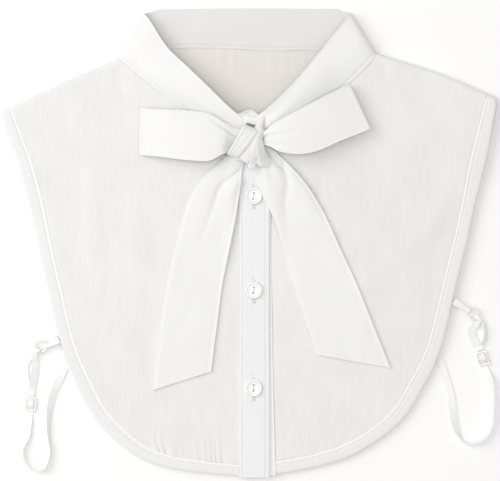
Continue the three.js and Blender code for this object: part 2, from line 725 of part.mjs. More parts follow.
// A tail lies on the panel, and climbs over the thicker placket near the knot.
function bowTail(side) {
  const rows = tails[side];
  const outer = curveThrough(rows.map((row) => new THREE.Vector3(row.outX, row.outY, 0)));
  const inner = curveThrough(rows.map((row) => new THREE.Vector3(row.inX, row.inY, 0)));
  const point = (u, v) => {
    const inward = side === "left" ? u : 1 - u;
    const place = outer.getPoint(1 - v).lerp(inner.getPoint(1 - v), inward);
    const onLeft = ramp(placketLeft - tailClimbFrom, placketLeft - tailClimbTo, place.x);
    const onRight = ramp(placketRight + tailClimbFrom, placketRight + tailClimbTo, place.x);
    const underside = panelCloth / 2 + tailClearance + tailOverPlacket * onLeft * onRight;
    const fold = pointAmong(rows, 1 - v, "fold") * (0.5 - 0.5 * Math.cos(2 * Math.PI * inward));
    place.z = frontHeight(place.x, place.y) + underside + bandCloth / 2 + fold;
    return place;
  };
  return meshOf("bow_tail_" + side, sheet(point, steps.bowTail, bandCloth), cotton);
}

// The knot is a wad of wrapped ribbon, full in the middle, with ridges that run with the wrap.
function bowKnot() {
  const outline = new THREE.CatmullRomCurve3(
    knotOutline.map((p) => new THREE.Vector3(p.x, p.y, 0)),
    true,
  );
  const centre = new THREE.Vector3(knotCentre.x, knotCentre.y, 0);
  const half = (knotHigh - knotLow) / 2;
  const positions = [centre.x, centre.y, knotLow];
  for (let j = 1; j < knotRings; j++) {
    const angle = -Math.PI / 2 + (Math.PI * j) / knotRings;
    for (let i = 0; i < knotAround; i++) {
      const place = outline.getPoint(1 - i / knotAround);
      place.lerp(centre, 1 - Math.cos(angle) ** knotFullness);
      const { x, y } = place.clone().sub(centre);
      const ridge = knotRidge.height * Math.cos(x * knotRidge.acrossX + y * knotRidge.acrossY);
      const z = knotLow + half + half * Math.sin(angle) + ridge * Math.max(0, Math.sin(angle));
      positions.push(place.x, place.y, z);
    }
  }
  positions.push(centre.x, centre.y, knotHigh + knotRidge.height);
  const top = positions.length / 3 - 1;
  const faces = [];
  for (let i = 0; i < knotAround; i++) {
    const next = (i + 1) % knotAround;
    faces.push(0, 1 + next, 1 + i);
    for (let j = 0; j < knotRings - 2; j++) {
      const [a, b] = [1 + j * knotAround + i, 1 + j * knotAround + next];
      faces.push(a, b, b + knotAround, a, b + knotAround, a + knotAround);
    }
    faces.push(top, top - knotAround + i, top - knotAround + next);
  }
  return meshOf("bow_knot", geometryOf(positions, faces), cotton);
}

// A tape that lies on the table or above it along the stations' places. It is level across but for each
// station's turn, in degrees, and bunched to a share of its width where the station says so. Where it
// stands steep, in a hairpin, it keeps the level direction it came with.
function tape(stations) {
  const curve = curveThrough(stations.map((station) => station.at));
  const count = tapeStepsPerStation * (stations.length - 1);
  const level = [];
  for (let step = 0; step <= count; step++) {
    const tangent = curve.getTangent(step / count);
    const side = new THREE.Vector3(-tangent.y, tangent.x, 0);
    const last = level[step - 1];
    if (last && side.length() < tapeSteep) side.copy(last);
    if (last && side.dot(last) < 0) side.negate();
    level.push(side.normalize());
  }
  const point = (u, v) => {
    const angle = THREE.MathUtils.degToRad(pointAmong(stations, v, "turn"));
    const half = (pointAmong(stations, v, "bunched") * tapeWidth) / 2;
    const side = level[Math.round(v * count)];
    const upright = curve.getTangent(v).cross(side).normalize();
    const place = curve.getPoint(v);
    place.z = Math.max(place.z, tapeCloth / 2 + half * Math.abs(Math.sin(angle)));
    const width = side.clone().multiplyScalar(Math.cos(angle)).addScaledVector(upright, Math.sin(angle));
    return place.addScaledVector(width, (2 * u - 1) * half);
  };
  return sheet(point, { across: 1, along: count }, tapeCloth);
}

// The hairpin that a tape makes round a ring's wire, listed from below it to above it.
function hairpin(side, direction) {
  const { ring } = straps[side];
  const half = (ringBunch * tapeWidth) / 2;
  const reach = Math.sqrt(ringRadius ** 2 - half ** 2);
  const wire = new THREE.Vector3(ring.x, ring.y, ringHeight).addScaledVector(direction, -reach);
  const radius = ringWire + ringSlack + tapeCloth / 2;
  const station = (distance, height) => ({
    at: wire.clone().addScaledVector(direction, distance).setZ(wire.z + height),
    turn: 0,
    bunched: ringBunch,
  });
  const round = [-90, -45, 0, 45, 90].map((degrees) => {
    const angle = THREE.MathUtils.degToRad(degrees);
    return station(radius * Math.cos(angle), radius * Math.sin(angle));
  });
  return [station(-ringLead, -radius), ...round, station(-ringLead, radius)];
}

function strapTab(side) {
  const { tab } = straps[side];
  const direction = new THREE.Vector3(tab.headingX, tab.headingY, 0).normalize();
  const edge = new THREE.Vector3(tab.x, tab.y, 0);
  const height = frontHeight(tab.x, tab.y);
  const apart = (tapeCloth + seamGap) / 2;
  const sewn = (z) => ({ at: edge.clone().setZ(z), turn: 0, bunched: 1 });
  const stations = [sewn(height - apart), ...hairpin(side, direction), sewn(height + apart)];
  return meshOf("strap_tab_" + side, tape(stations), elastic);
}

function strapRing(side) {
  const { ring } = straps[side];
  const mesh = meshOf("strap_ring_" + side, new THREE.TorusGeometry(ringRadius, ringWire, 6, 16), nylon);
  mesh.position.set(ring.x, ring.y, ringHeight);
  return mesh;
}

function sliderDirection(side) {
  const heading = THREE.MathUtils.degToRad(straps[side].slider.heading);
  return new THREE.Vector3(Math.cos(heading), Math.sin(heading), 0);
}

function strapSlider(side) {
  const slot = (sliderLength - 3 * sliderBar) / 2;
  let frame = solidFrom(new THREE.BoxGeometry(sliderLength, sliderWidth, sliderCloth));
  for (const end of [-1, 1]) {
    const hole = new THREE.BoxGeometry(slot, sliderWidth - 2 * sliderBar, 3 * sliderCloth);
    hole.translate((end * (slot + sliderBar)) / 2, 0, 0);
    frame = frame.subtract(solidFrom(hole));
  }
  const mesh = meshOf("strap_slider_" + side, geometryFrom(frame), nylon);
  const { slider } = straps[side];
  mesh.position.set(slider.x, slider.y, tapeCloth + seamGap + sliderCloth / 2);
  mesh.rotation.z = THREE.MathUtils.degToRad(slider.heading);
  return mesh;
}

// The elastic starts at the slider's near bar, goes up to the ring and round its wire, comes back under
// that bar, over the slider's middle bar and under the far one, and loops round to the back panel.
function sideStrap(side) {
  const { slider, inner, outer, loop, end, ring } = straps[side];
  const along = sliderDirection(side);
  const centre = new THREE.Vector3(slider.x, slider.y, 0);
  const under = tapeCloth / 2;
  const over = tapeCloth + 2 * seamGap + sliderCloth + tapeCloth / 2;
  const slot = (sliderLength - 3 * sliderBar) / 2;
  const onSlider = (distance, z) => ({
    at: centre.clone().addScaledVector(along, distance).setZ(z),
    turn: 0,
    bunched: sliderBunch,
  });
  const listed = (row) => ({ at: new THREE.Vector3(row.x, row.y, under), turn: row.turn, bunched: 1 });
  const away = new THREE.Vector3(ring.x - outer[0].x, ring.y - outer[0].y, 0).normalize();
  const barEdge = sliderBar / 2 + sliderEase;
  const slotEnd = sliderBar / 2 + slot - sliderEase;
  const clear = sliderLength / 2 + sliderLead;
  const stations = [
    onSlider(-sliderLength / 2 - 3 * seamGap, tapeCloth + seamGap + sliderCloth / 2),
    ...inner.map(listed),
    ...hairpin(side, away).reverse(),
    ...outer.map(listed),
    onSlider(-clear, under),
    onSlider(-slotEnd, under),
    onSlider(-barEdge, over),
    onSlider(barEdge, over),
    onSlider(slotEnd, under),
    onSlider(clear, under),
    ...loop.map(listed),
    listed({ x: end.x, y: end.y, turn: 0 }),
  ];
  return meshOf("side_strap_" + side, tape(stations), elastic);
}

const collar = new THREE.Group();
collar.add(backPanel(), backBinding());
for (const side of ["left", "right"]) {
  collar.add(frontPanel(side), frontBinding(side));
  collar.add(bowLoop(side), bowTail(side));
  collar.add(strapTab(side), strapRing(side), strapSlider(side), sideStrap(side));
}
collar.add(
  frontStrip("placket", {
    left: placketLeft,
    right: placketRight,
    bottomY: placketBottomY,
    above: placketAbove,
    thickness: placketCloth,
    material: cotton,
  }),
  frontStrip("button_stand", {
    left: standLeft,
    right: standRight,
    bottomY: standBottomY,
    above: -standBelow,
    thickness: standCloth,
    material: voile,
  }),
);
buttonYs.forEach((y, index) => collar.add(button(index)));
collar.add(collarBand(), bowKnot());

export default collar;
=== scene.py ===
import math

import bpy
import numpy as np
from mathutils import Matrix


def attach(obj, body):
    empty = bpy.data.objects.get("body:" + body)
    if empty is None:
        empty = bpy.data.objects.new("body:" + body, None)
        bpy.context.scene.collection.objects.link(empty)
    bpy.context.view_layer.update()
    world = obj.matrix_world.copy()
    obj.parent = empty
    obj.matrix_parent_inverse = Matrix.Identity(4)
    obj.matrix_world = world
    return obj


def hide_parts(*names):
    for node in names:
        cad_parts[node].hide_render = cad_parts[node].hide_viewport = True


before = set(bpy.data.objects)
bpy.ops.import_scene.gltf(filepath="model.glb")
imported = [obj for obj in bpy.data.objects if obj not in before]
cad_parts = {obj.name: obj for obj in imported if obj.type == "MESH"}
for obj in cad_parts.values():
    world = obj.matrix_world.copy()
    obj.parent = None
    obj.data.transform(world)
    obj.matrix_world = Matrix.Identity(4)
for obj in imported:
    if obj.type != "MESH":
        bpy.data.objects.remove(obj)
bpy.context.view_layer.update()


# Back panel. One layer of semi-sheer cotton voile that lies on the table. Its two top corners roll up
# over the shoulders to the seams with the front panels, and its neck edge is gathered a little into
# the collar. It is a flat grid whose points are laid on the table and round the shoulders.

# Lengths are in millimetres, and mm turns them into metres
mm = 0.001
panel_cloth = 0.8
cad_cloth = 1.0

# The bound outline of the front, from shoulder to placket: x and y outside, x and y inside
edges = {
    "left": np.array([
        (-172.0, 88.4, -166.2, 92.4),
        (-162.8, 58.1, -153.3, 58.1),
        (-154.7, 30.1, -145.6, 30.1),
        (-148.4, 2.1, -139.8, 2.1),
        (-141.0, -30.8, -132.4, -30.8),
        (-130.6, -75.6, -121.5, -74.0),
        (-119.4, -102.2, -110.3, -99.5),
        (-107.1, -123.9, -99.1, -119.7),
        (-95.9, -136.5, -88.2, -130.8),
        (-78.4, -149.8, -72.8, -142.8),
        (-56.0, -157.5, -52.6, -150.2),
        (-30.1, -161.0, -30.1, -153.6),
        (-7.6, -163.1, -7.6, -156.1),
    ]),
    "right": np.array([
        (172.2, 97.4, 165.6, 101.2),
        (164.9, 58.1, 154.4, 58.1),
        (157.9, 30.1, 149.2, 30.1),
        (151.9, 2.1, 143.1, 2.1),
        (144.9, -26.0, 136.2, -26.0),
        (132.0, -77.7, 123.0, -76.0),
        (120.1, -102.2, 111.0, -99.5),
        (108.5, -121.1, 101.2, -116.2),
        (93.1, -135.1, 86.9, -129.4),
        (70.0, -149.1, 66.0, -141.6),
        (51.8, -155.0, 48.6, -147.4),
        (35.0, -158.9, 34.0, -151.0),
        (17.7, -161.7, 17.7, -153.6),
    ]),
}
shoulders = {
    "left": np.array([(-172.9, 92.9), (-136.5, 109.4), (-90.6, 129.2)]),
    "right": np.array([(172.9, 101.7), (135.0, 118.1), (89.2, 132.8)]),
}
shoulder_mitre = 0.33
shoulder_seam_angle = 42.0

# Shares of the back's outline and of the shoulders' lines where the corners of its cloth lie
back_tip_share, back_corner_share = 0.03, 0.36
back_shoulder_part, back_shoulder_tip = 0.3, 0.12
back_inset, back_tuck = 1.0, 1.5
back_binding_width = 8.5
back_seam_y, back_seam_drop, back_seam_half = 137.2, 11.0, 88.0
gather_x, gather_y, gather_wave, gather_rise = 14, 136, 1.15, 0.65
back_softness = 0.2

# The front's cloth above the table: at the hem, what it gains over the chest, and at the collar
hem_height, chest_rise, collar_rise = 3.8, 3.6, 1.6
chest_start, chest_full, armhole_slack = -125, -15, 0.6
collar_y, collar_spread = 80, 50

# The soft folds of the front panels: from x and y, to x and y, rise and spread
panel_folds = [
    (150, 55, 126, 9, 0.9, 9),
    (126, 9, 80, -30, 0.9, 11),
    (-110, 44, -108, -34, 0.5, 7),
    (-80, 16, -80, -34, 0.5, 6),
]


def ramp(start, stop, value):
    """0 before start, 1 past stop, and a soft step between them."""
    t = np.clip((value - start) / (stop - start), 0, 1)
    return t * t * (3 - 2 * t)


def mix(a, b, t):
    """a where t is 0 and b where it is 1."""
    return a + (b - a) * t


def hump(distance, spread):
    """1 at no distance, and falling away softly over the spread."""
    return np.exp(-((distance / spread) ** 2))


def points(x, y, z=0.0):
    """Rows of x, y and z."""
    x, y, z = np.broadcast_arrays(x, y, z)
    return np.stack([x, y, z], axis=-1).astype(float)


def curve_through(rows, share):
    """Places on the smooth line through the rows, at shares of its way from 0 to 1."""
    rows = np.asarray(rows, float)
    padded = np.vstack([2 * rows[0] - rows[1], rows, 2 * rows[-1] - rows[-2]])
    place = np.clip(share, 0, 1) * (len(rows) - 1)
    first = np.minimum(np.floor(place).astype(int), len(rows) - 2)
    t = (place - first)[..., None]
    a, b, c, d = (padded[first + step] for step in range(4))
    ab, bc, cd = (np.linalg.norm(q - p, axis=-1)[..., None] ** 0.5 for p, q in ((a, b), (b, c), (c, d)))
    leave = ((b - a) / ab - (c - a) / (ab + bc) + (c - b) / bc) * bc
    arrive = ((c - b) / bc - (d - b) / (bc + cd) + (d - c) / cd) * bc
    bend = 3 * (c - b) - 2 * leave - arrive
    return b + leave * t + bend * t**2 + (2 * (b - c) + leave + arrive) * t**3


def on_table(place):
    """Places straight below, at no height."""
    return points(place[..., 0], place[..., 1])


def leftwards(heading):
    """Headings turned a quarter to the left, seen from above."""
    return np.stack([-heading[..., 1], heading[..., 0]], axis=-1)


def heading_along(rows, share):
    """The unit direction of that line at each share."""
    before, after = np.clip(share - 1e-4, 0, 1), np.clip(share + 1e-4, 0, 1)
    ahead = curve_through(rows, after) - curve_through(rows, before)
    return ahead / np.linalg.norm(ahead, axis=-1)[..., None]


def line_distance(x, y, from_x, from_y, to_x, to_y):
    """How far each point lies from the straight line between two places."""
    run_x, run_y = to_x - from_x, to_y - from_y
    t = np.clip(((x - from_x) * run_x + (y - from_y) * run_y) / (run_x**2 + run_y**2), 0, 1)
    return np.hypot(x - from_x - t * run_x, y - from_y - t * run_y)


def front_height(x, y):
    """The middle of the front panels' cloth above the table."""
    raised = ramp(chest_start, chest_full, y)
    slack = 1 - armhole_slack * ramp(80, 150, abs(x)) * (1 - ramp(30, 90, y))
    collar = np.exp(-(x**2 + (y - collar_y) ** 2) / (2 * collar_spread**2))
    height = hem_height + chest_rise * raised * slack + collar_rise * collar
    for *line, rise, spread in panel_folds:
        height = height + rise * hump(line_distance(x, y, *line), spread)
    return height


def shoulder_point(side, share, angle, lift=0.0):
    """The middle of a shoulder's roll, from the table (-90 degrees) up to the front (90 degrees)."""
    share, angle = np.broadcast_arrays(np.asarray(share, float), np.radians(angle))
    line = shoulders[side]
    turn = 1 if side == "left" else -1
    outward = np.cos(angle)
    seam = curve_through(line, share)
    radius = (front_height(seam[..., 0], seam[..., 1]) - cad_cloth / 2) / 2
    walk = curve_through(line, np.linspace(0, 1, 60))
    length = np.linalg.norm(np.diff(walk, axis=0), axis=1).sum()
    mitred = share * (1 - outward * radius * shoulder_mitre / length)
    place = curve_through(line, mitred)
    heading = heading_along(line, mitred)
    out = leftwards(heading) * turn
    place = place + out * (radius * (outward - 1) - cad_cloth / 2 + lift * outward)[..., None]
    height = cad_cloth / 2 + radius * (1 + np.sin(angle)) + lift * np.sin(angle)
    return points(place[..., 0], place[..., 1], height)


def back_edge(share, inset):
    """The back panel's outline all round, moved inwards."""
    rows = np.vstack([edges["left"][:, :2], edges["right"][::-1, :2]])
    heading = heading_along(rows, share)
    return on_table(curve_through(rows, share) + leftwards(heading) * inset)


def back_seam(x):
    """The collar's seam on the back, which sags a little right of the middle."""
    sag = 2.2 * hump(x - 12, 26) - 2.6 * hump(x + 62, 18)
    return back_seam_y - back_seam_drop * abs(x / back_seam_half) ** 3 - sag


def patch(start, end, near, far, u, v):
    """A surface between four edges: start and end run across, near and far run along."""
    s, t = u[:, None], v[:, None]
    none, full = np.zeros_like(u), np.ones_like(u)
    across = start(u) * (1 - t) + end(u) * t
    along = near(v) * (1 - s) + far(v) * s
    corners = start(none) * (1 - s) * (1 - t) + start(full) * s * (1 - t)
    return across + along - corners - end(none) * (1 - s) * t - end(full) * s * t


def lay_cloth(name, surface, across, along, thickness, width, length, cut=None):
    """A cloth of width by length millimetres, divided across and along, and laid on surface(u, v).
    cut(u, v) says where it has no cloth."""
    bpy.ops.object.select_all(action="DESELECT")
    bpy.ops.mesh.primitive_grid_add(x_subdivisions=across, y_subdivisions=along, size=2)
    piece = bpy.context.object
    piece.name = name
    mesh = piece.data
    layer = mesh.uv_layers.active.data
    uv = np.empty(len(layer) * 2)
    layer.foreach_get("uv", uv)
    layer.foreach_set("uv", (uv.reshape(-1, 2) * (width * mm, length * mm)).ravel())
    if cut:
        centres = np.empty(len(mesh.polygons) * 3)
        mesh.polygons.foreach_get("center", centres)
        away = cut(*(centres.reshape(-1, 3)[:, :2].T + 1) / 2)
    flat = np.empty(len(mesh.vertices) * 3)
    mesh.vertices.foreach_get("co", flat)
    u, v = (flat.reshape(-1, 3)[:, :2].T + 1) / 2
    mesh.vertices.foreach_set("co", (surface(u, v) * mm).ravel())
    mesh.update()
    if cut:
        bpy.ops.object.mode_set(mode="EDIT")
        bpy.ops.mesh.select_mode(type="FACE")
        bpy.ops.mesh.select_all(action="DESELECT")
        bpy.ops.object.mode_set(mode="OBJECT")
        mesh.polygons.foreach_set("select", away)
        bpy.ops.object.mode_set(mode="EDIT")
        bpy.ops.mesh.delete(type="FACE")
        bpy.ops.object.mode_set(mode="OBJECT")
    bpy.ops.object.modifier_add(type="SOLIDIFY")
    wall = piece.modifiers[-1]
    wall.thickness = thickness * mm
    wall.offset = 0
    bpy.ops.object.modifier_apply(modifier=wall.name)
    bpy.ops.object.shade_smooth_by_angle(angle=math.radians(50))
    return piece


def dress(piece, material, slot_name, *nodes):
    """Gives a finished piece its material, sets it under the root body, and hides the model's parts it
    stands for.
    """
    piece.data.materials.clear()
    piece.data.materials.append(material)
    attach(piece, "root")
    if nodes:
        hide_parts(*nodes)


def ripple(x, y, seed, wave, lean=1.0):
    """A soft seeded unevenness from about -1 to 1, with waves of about that length, stretched along y."""
    dice = np.random.default_rng(seed)
    total = np.zeros_like(x)
    for _ in range(7):
        turn, phase = dice.uniform(0, math.pi), dice.uniform(0, 2 * math.pi)
        beat = 2 * math.pi / (wave * dice.uniform(0.7, 1.6))
        total += np.sin(beat * (x * math.cos(turn) + y * math.sin(turn) / lean) + phase)
    return total / 4


def new_group(name, inputs, outputs):
    """An empty shader node group with named inputs, each with its value, and named outputs."""
    group = bpy.data.node_groups.new(name, "ShaderNodeTree")
    for label, value in inputs.items():
        kind = "NodeSocketFloat" if isinstance(value, float) else "NodeSocketVector"
        group.interface.new_socket(label, in_out="INPUT", socket_type=kind).default_value = value
    for label in outputs:
        group.interface.new_socket(label, in_out="OUTPUT", socket_type="NodeSocketFloat")
    return group, group.nodes.new("NodeGroupInput").outputs, group.nodes.new("NodeGroupOutput").inputs


def wire(tree, kind, *values, **settings):
    """A new node with settings, whose inputs in order are linked from sockets or set to values."""
    node = tree.nodes.new(kind)
    for key, value in settings.items():
        setattr(node, key, value)
    for socket, value in zip(node.inputs, values):
        if isinstance(value, bpy.types.NodeSocket):
            tree.links.new(value, socket)
        elif value is not None:
            socket.default_value = value
    return node


def calculate(tree, operation, a, b=None):
    return wire(tree, "ShaderNodeMath", a, b, operation=operation).outputs[0]


def remap(tree, value, low, high, at_low, at_high, ease="LINEAR"):
    """A value's way from low to high, as a way between two other values."""
    way = wire(tree, "ShaderNodeMapRange", value, low, high, at_low, at_high, interpolation_type=ease)
    return way.outputs[0]


def stretched(tree, place, scale):
    return wire(tree, "ShaderNodeVectorMath", place, scale, operation="MULTIPLY").outputs[0]


def noise(tree, place, scale, detail):
    return wire(tree, "ShaderNodeTexNoise", place, None, scale, detail).outputs[0]


def blend(tree, share, first, second, how="MIX"):
    """A colour between two others, each a socket or a plain colour."""
    node = wire(tree, "ShaderNodeMix", share, data_type="RGBA", blend_type=how)
    for socket, colour in zip(node.inputs[6:8], (first, second)):
        if isinstance(colour, bpy.types.NodeSocket):
            tree.links.new(colour, socket)
        else:
            socket.default_value = (*colour, 1)
    return node.outputs[2]


def coordinates(tree, follow):
    """Places in the whole collar (Object), or on a piece's own cloth (UV)."""
    return tree.nodes.new("ShaderNodeTexCoord").outputs[follow]


def new_material(name):
    """A material, with its nodes and its shader."""
    material = bpy.data.materials.new(name)
    material.use_nodes = True
    return material, material.node_tree, material.node_tree.nodes["Principled BSDF"]


def axes_of(tree, place):
    """The x, y and z of a place."""
    return wire(tree, "ShaderNodeSeparateXYZ", place).outputs


def set_inputs(node, values):
    """Sets a node's inputs by their names."""
    for label, value in values.items():
        node.inputs[label].default_value = value


def emboss(tree, relief, strength=1.0):
    """Bumps the surface by a relief among its nodes."""
    bump = wire(tree, "ShaderNodeBump")
    set_inputs(bump, {"Strength": strength, "Distance": 0.0001})
    tree.links.new(relief, bump.inputs["Height"])
    tree.links.new(bump.outputs[0], tree.nodes["Principled BSDF"].inputs["Normal"])


def tint_over(material, mask, colour, how="MIX"):
    """Lays a colour over the material's own, where a mask among its nodes says so."""
    tree = material.node_tree
    base = tree.nodes["Principled BSDF"].inputs["Base Color"]
    tree.links.new(blend(tree, mask, base.links[0].from_socket, colour, how), base)


# Plain weave: crossing threads, thicker slubs drawn out along the cloth, and broad clouds of tone
weave, given, result = new_group(
    "plain weave",
    {"Place": (0.0, 0.0, 0.0), "Threads": 1800.0, "Slub": 0.5, "Cloud": 0.3},
    ["Height", "Tone"],
)
slub_grain, cloud_grain = (420.0, 55.0, 420.0), (62.0, 34.0, 62.0)
thread_relief, thread_tone = 0.35, 0.08
counted = wire(weave, "ShaderNodeVectorMath", given["Place"], operation="SCALE")
weave.links.new(given["Threads"], counted.inputs["Scale"])
split = axes_of(weave, counted.outputs[0])
warp = calculate(weave, "SINE", calculate(weave, "MULTIPLY", split[0], math.pi))
weft = calculate(weave, "SINE", calculate(weave, "MULTIPLY", split[1], math.pi))
crossing = calculate(weave, "MULTIPLY", warp, weft)
slubs = noise(weave, stretched(weave, given["Place"], slub_grain), 1.0, 3.0)
slub = calculate(weave, "MULTIPLY", calculate(weave, "SUBTRACT", slubs, 0.5), given["Slub"])
height = calculate(weave, "ADD", calculate(weave, "MULTIPLY", crossing, thread_relief), slub)
weave.links.new(height, result["Height"])
fine = calculate(weave, "MULTIPLY", crossing, thread_tone)
clouds = noise(weave, stretched(weave, given["Place"], cloud_grain), 1.0, 4.0)
cloud = calculate(weave, "MULTIPLY", calculate(weave, "SUBTRACT", clouds, 0.5), given["Cloud"])
streaks = calculate(weave, "ADD", calculate(weave, "ADD", slub, fine), cloud)
weave.links.new(calculate(weave, "ADD", streaks, 0.5), result["Tone"])

# A row of stitches along the cloth at one distance from its edge, in a soft groove
stitching, given, result = new_group(
    "stitch row",
    {"Place": (0.0, 0.0, 0.0), "Row": 0.002, "Stitch": 0.0026, "Thread": 0.00028},
    ["Thread", "Groove"],
)
stitch_share, groove_reach = 0.74, 0.0012
split = axes_of(stitching, given["Place"])
away = calculate(stitching, "ABSOLUTE", calculate(stitching, "SUBTRACT", split[0], given["Row"]))
on_row = calculate(stitching, "LESS_THAN", away, given["Thread"])
beat = calculate(stitching, "FRACT", calculate(stitching, "DIVIDE", split[1], given["Stitch"]))
on_stitch = calculate(stitching, "LESS_THAN", beat, stitch_share)
stitching.links.new(calculate(stitching, "MULTIPLY", on_row, on_stitch), result["Thread"])
stitching.links.new(remap(stitching, away, 0.0, groove_reach, 1.0, 0.0, "SMOOTHSTEP"), result["Groove"])

stitch_rise, groove_depth = 2.2, -1.6
# In the colour, each groove is painted darker as painted shade, and each stitch lighter as a painted
# highlight
stitch_shine, groove_shade = 0.5, 0.35


def cloth_material(
    name, light, dark, threads_per_metre, slub, roughness, follow="UV", rows=(), cloud=0.5
):
    """Woven cloth: its weave follows the piece's UV map or its place, with a row of stitches at each
    distance in rows, in millimetres from the edge where the UV map starts."""
    material, tree, shader = new_material(name)
    set_inputs(shader, {"Sheen Weight": 0.12, "Sheen Roughness": 0.5, "Specular IOR Level": 0.25})
    place = coordinates(tree, follow)
    woven = wire(tree, "ShaderNodeGroup", node_tree=weave)
    tree.links.new(place, woven.inputs["Place"])
    set_inputs(woven, {"Threads": threads_per_metre, "Slub": slub, "Cloud": cloud})
    tone, relief = woven.outputs["Tone"], woven.outputs["Height"]
    for row in rows:
        stitched = wire(tree, "ShaderNodeGroup", node_tree=stitching)
        tree.links.new(place, stitched.inputs["Place"])
        set_inputs(stitched, {"Row": row * mm})
        raised = calculate(tree, "MULTIPLY", stitched.outputs["Thread"], stitch_rise)
        sunk = calculate(tree, "MULTIPLY", stitched.outputs["Groove"], groove_depth)
        relief = calculate(tree, "ADD", relief, calculate(tree, "ADD", raised, sunk))
        # Painted shade in the groove and a painted highlight on the stitches
        shaded = calculate(tree, "MULTIPLY", stitched.outputs["Groove"], groove_shade)
        shining = calculate(tree, "MULTIPLY", stitched.outputs["Thread"], stitch_shine)
        tone = calculate(tree, "ADD", calculate(tree, "SUBTRACT", tone, shaded), shining)
    tree.links.new(blend(tree, tone, dark, light), shader.inputs["Base Color"])
    rough = remap(tree, tone, 0.0, 1.0, roughness + 0.06, roughness - 0.04)
    tree.links.new(rough, shader.inputs["Roughness"])
    emboss(tree, relief, 0.5)
    return material


# The share of the grid where the shoulders' rolls start, and how far cloth runs on under its neighbour
roll_from = 0.82
tuck = 1.2


def back_surface(u, v):
    """The back's cloth: flat on the table up to roll_from, and past it up and over each shoulder."""
    parts = {"left": u / back_shoulder_part, "right": (1 - u) / back_shoulder_part}
    inset = back_inset + back_binding_width - back_tuck

    def shoulder_line(side, part):
        share = mix(back_shoulder_tip, 1.0, np.clip(part, 0, 1))
        return shoulder_point(side, share, -90) * (1, 1, 0)

    def top_edge(u):
        left, right = u / back_shoulder_part, (1 - u) / back_shoulder_part
        low_x, high_x = (shoulder_line(side, np.ones(1))[0, 0] for side in parts)
        x = mix(low_x, high_x, np.clip((left - 1) / np.maximum(left + right - 2, 1e-9), 0, 1))
        neck = points(x, back_seam(x) + tuck)
        on_right = np.where((right < 1)[:, None], shoulder_line("right", right), neck)
        return np.where((left < 1)[:, None], shoulder_line("left", left), on_right)

    def side_edge(start, stop, top):
        return lambda v: mix(back_edge(mix(start, stop, v), inset), top, (1 - ramp(0, 0.1, v))[:, None])

    ends = top_edge(np.array([0.0, 1.0]))
    place = patch(
        top_edge,
        lambda u: back_edge(mix(back_corner_share, 1 - back_corner_share, u), inset),
        side_edge(back_tip_share, back_corner_share, ends[0]),
        side_edge(1 - back_tip_share, 1 - back_corner_share, ends[1]),
        u,
        1 - np.minimum(v / roll_from, 1),
    )
    x, y = place[:, 0], place[:, 1]
    near_neck = ramp(gather_y - 28, gather_y, y) * (1 - ramp(20, 62, abs(x - gather_x)))
    near_neck = near_neck * ramp(0, 3, back_seam(x) - y)
    wander = 1.4 * np.sin(x / 6.1) + (gather_y - y) / 30
    gathers = near_neck * (0.5 + 0.5 * np.sin(x / gather_wave + wander))
    gathers = gathers * np.clip(0.6 + 0.5 * ripple(x, y, 29, 26, 3.0), 0, 1.2)
    soft = back_softness * (1 + ripple(x, y, 3, 60, 2.0)) * (1 - near_neck)
    place[:, 2] = panel_cloth / 2 + gather_rise * gathers + soft
    turned = np.clip((v - roll_from) / (1 - roll_from), 0, 1)
    for side, part in parts.items():
        share = mix(back_shoulder_tip * (1 - turned), 1.0, np.clip(part, 0, 1))
        rolled = (v > roll_from + 1e-6) & (part < 1.001)
        angle = mix(-90.0, shoulder_seam_angle + 25, turned)
        under = -1.0 * ramp(shoulder_seam_angle - 18, shoulder_seam_angle + 4, angle)
        place[rolled] = shoulder_point(side, share, angle, under)[rolled]
    return place


def above_back_neck(u, v):
    """Where the grid has no cloth: past the flat part, between the two shoulders."""
    return (v > roll_from) & (u > back_shoulder_part) & (u < 1 - back_shoulder_part)


# Inside the neck the cloth is painted warmer and darker, more so lower down: painted shade of the hollow
# under the collar
back_light, back_dark, neck_painted_shade = (0.84, 0.84, 0.835), (0.77, 0.768, 0.76), (0.93, 0.885, 0.83)
back_voile = cloth_material("back voile", back_light, back_dark, 1700.0, 0.5, 0.9, "Object")
tree = back_voile.node_tree
split = axes_of(tree, coordinates(tree, "Object"))
in_neck = remap(tree, calculate(tree, "ABSOLUTE", split[0]), 0.06, 0.085, 1.0, 0.0, "SMOOTHSTEP")
low_down = remap(tree, split[1], 0.14, 0.08, 0.7, 1.0)
tint_over(back_voile, calculate(tree, "MULTIPLY", in_neck, low_down), neck_painted_shade, "MULTIPLY")
back_panel = lay_cloth("back_cloth", back_surface, 240, 140, panel_cloth, 345, 300, above_back_neck)
dress(back_panel, back_voile, "voile", "back_panel")


# Front panels. The same voile as the back, cut as a left and a right half that meet under the placket.
# Each is sewn to the shoulder, the neck and the bound edge, and puckers softly along its hem.
tuck_depth = 1.4
hem_fullness = {"left": 0.5, "right": 0.2}
front_seeds = {"left": 5, "right": 8}
front_softness, pucker_rise = 0.3, 0.08
corner_share = 0.66
neck_part = 0.3
tip_share = 0.06
front_roll = 0.03
placket_left, placket_right = -7.3, 13.3
stand_left, stand_top_right, stand_right = 0.6, 14.8, 18.2

# Soft creases that run down from the shoulders beside the collar: places along each, rise, spread,
# strength at its start and end
shoulder_creases = [
    ([(-91, 125), (-93, 112), (-90, 99)], -0.9, 3.2, 1.0, 0.0),
    ([(-101, 119), (-104, 108)], -0.5, 2.6, 1.0, 0.2),
    ([(96, 131), (94.5, 122), (93, 111)], -1.0, 2.2, 1.0, 0.0),
    ([(109, 125), (110, 117), (108, 109)], -0.6, 2.6, 1.0, 0.0),
]
band_cloth = 1.2

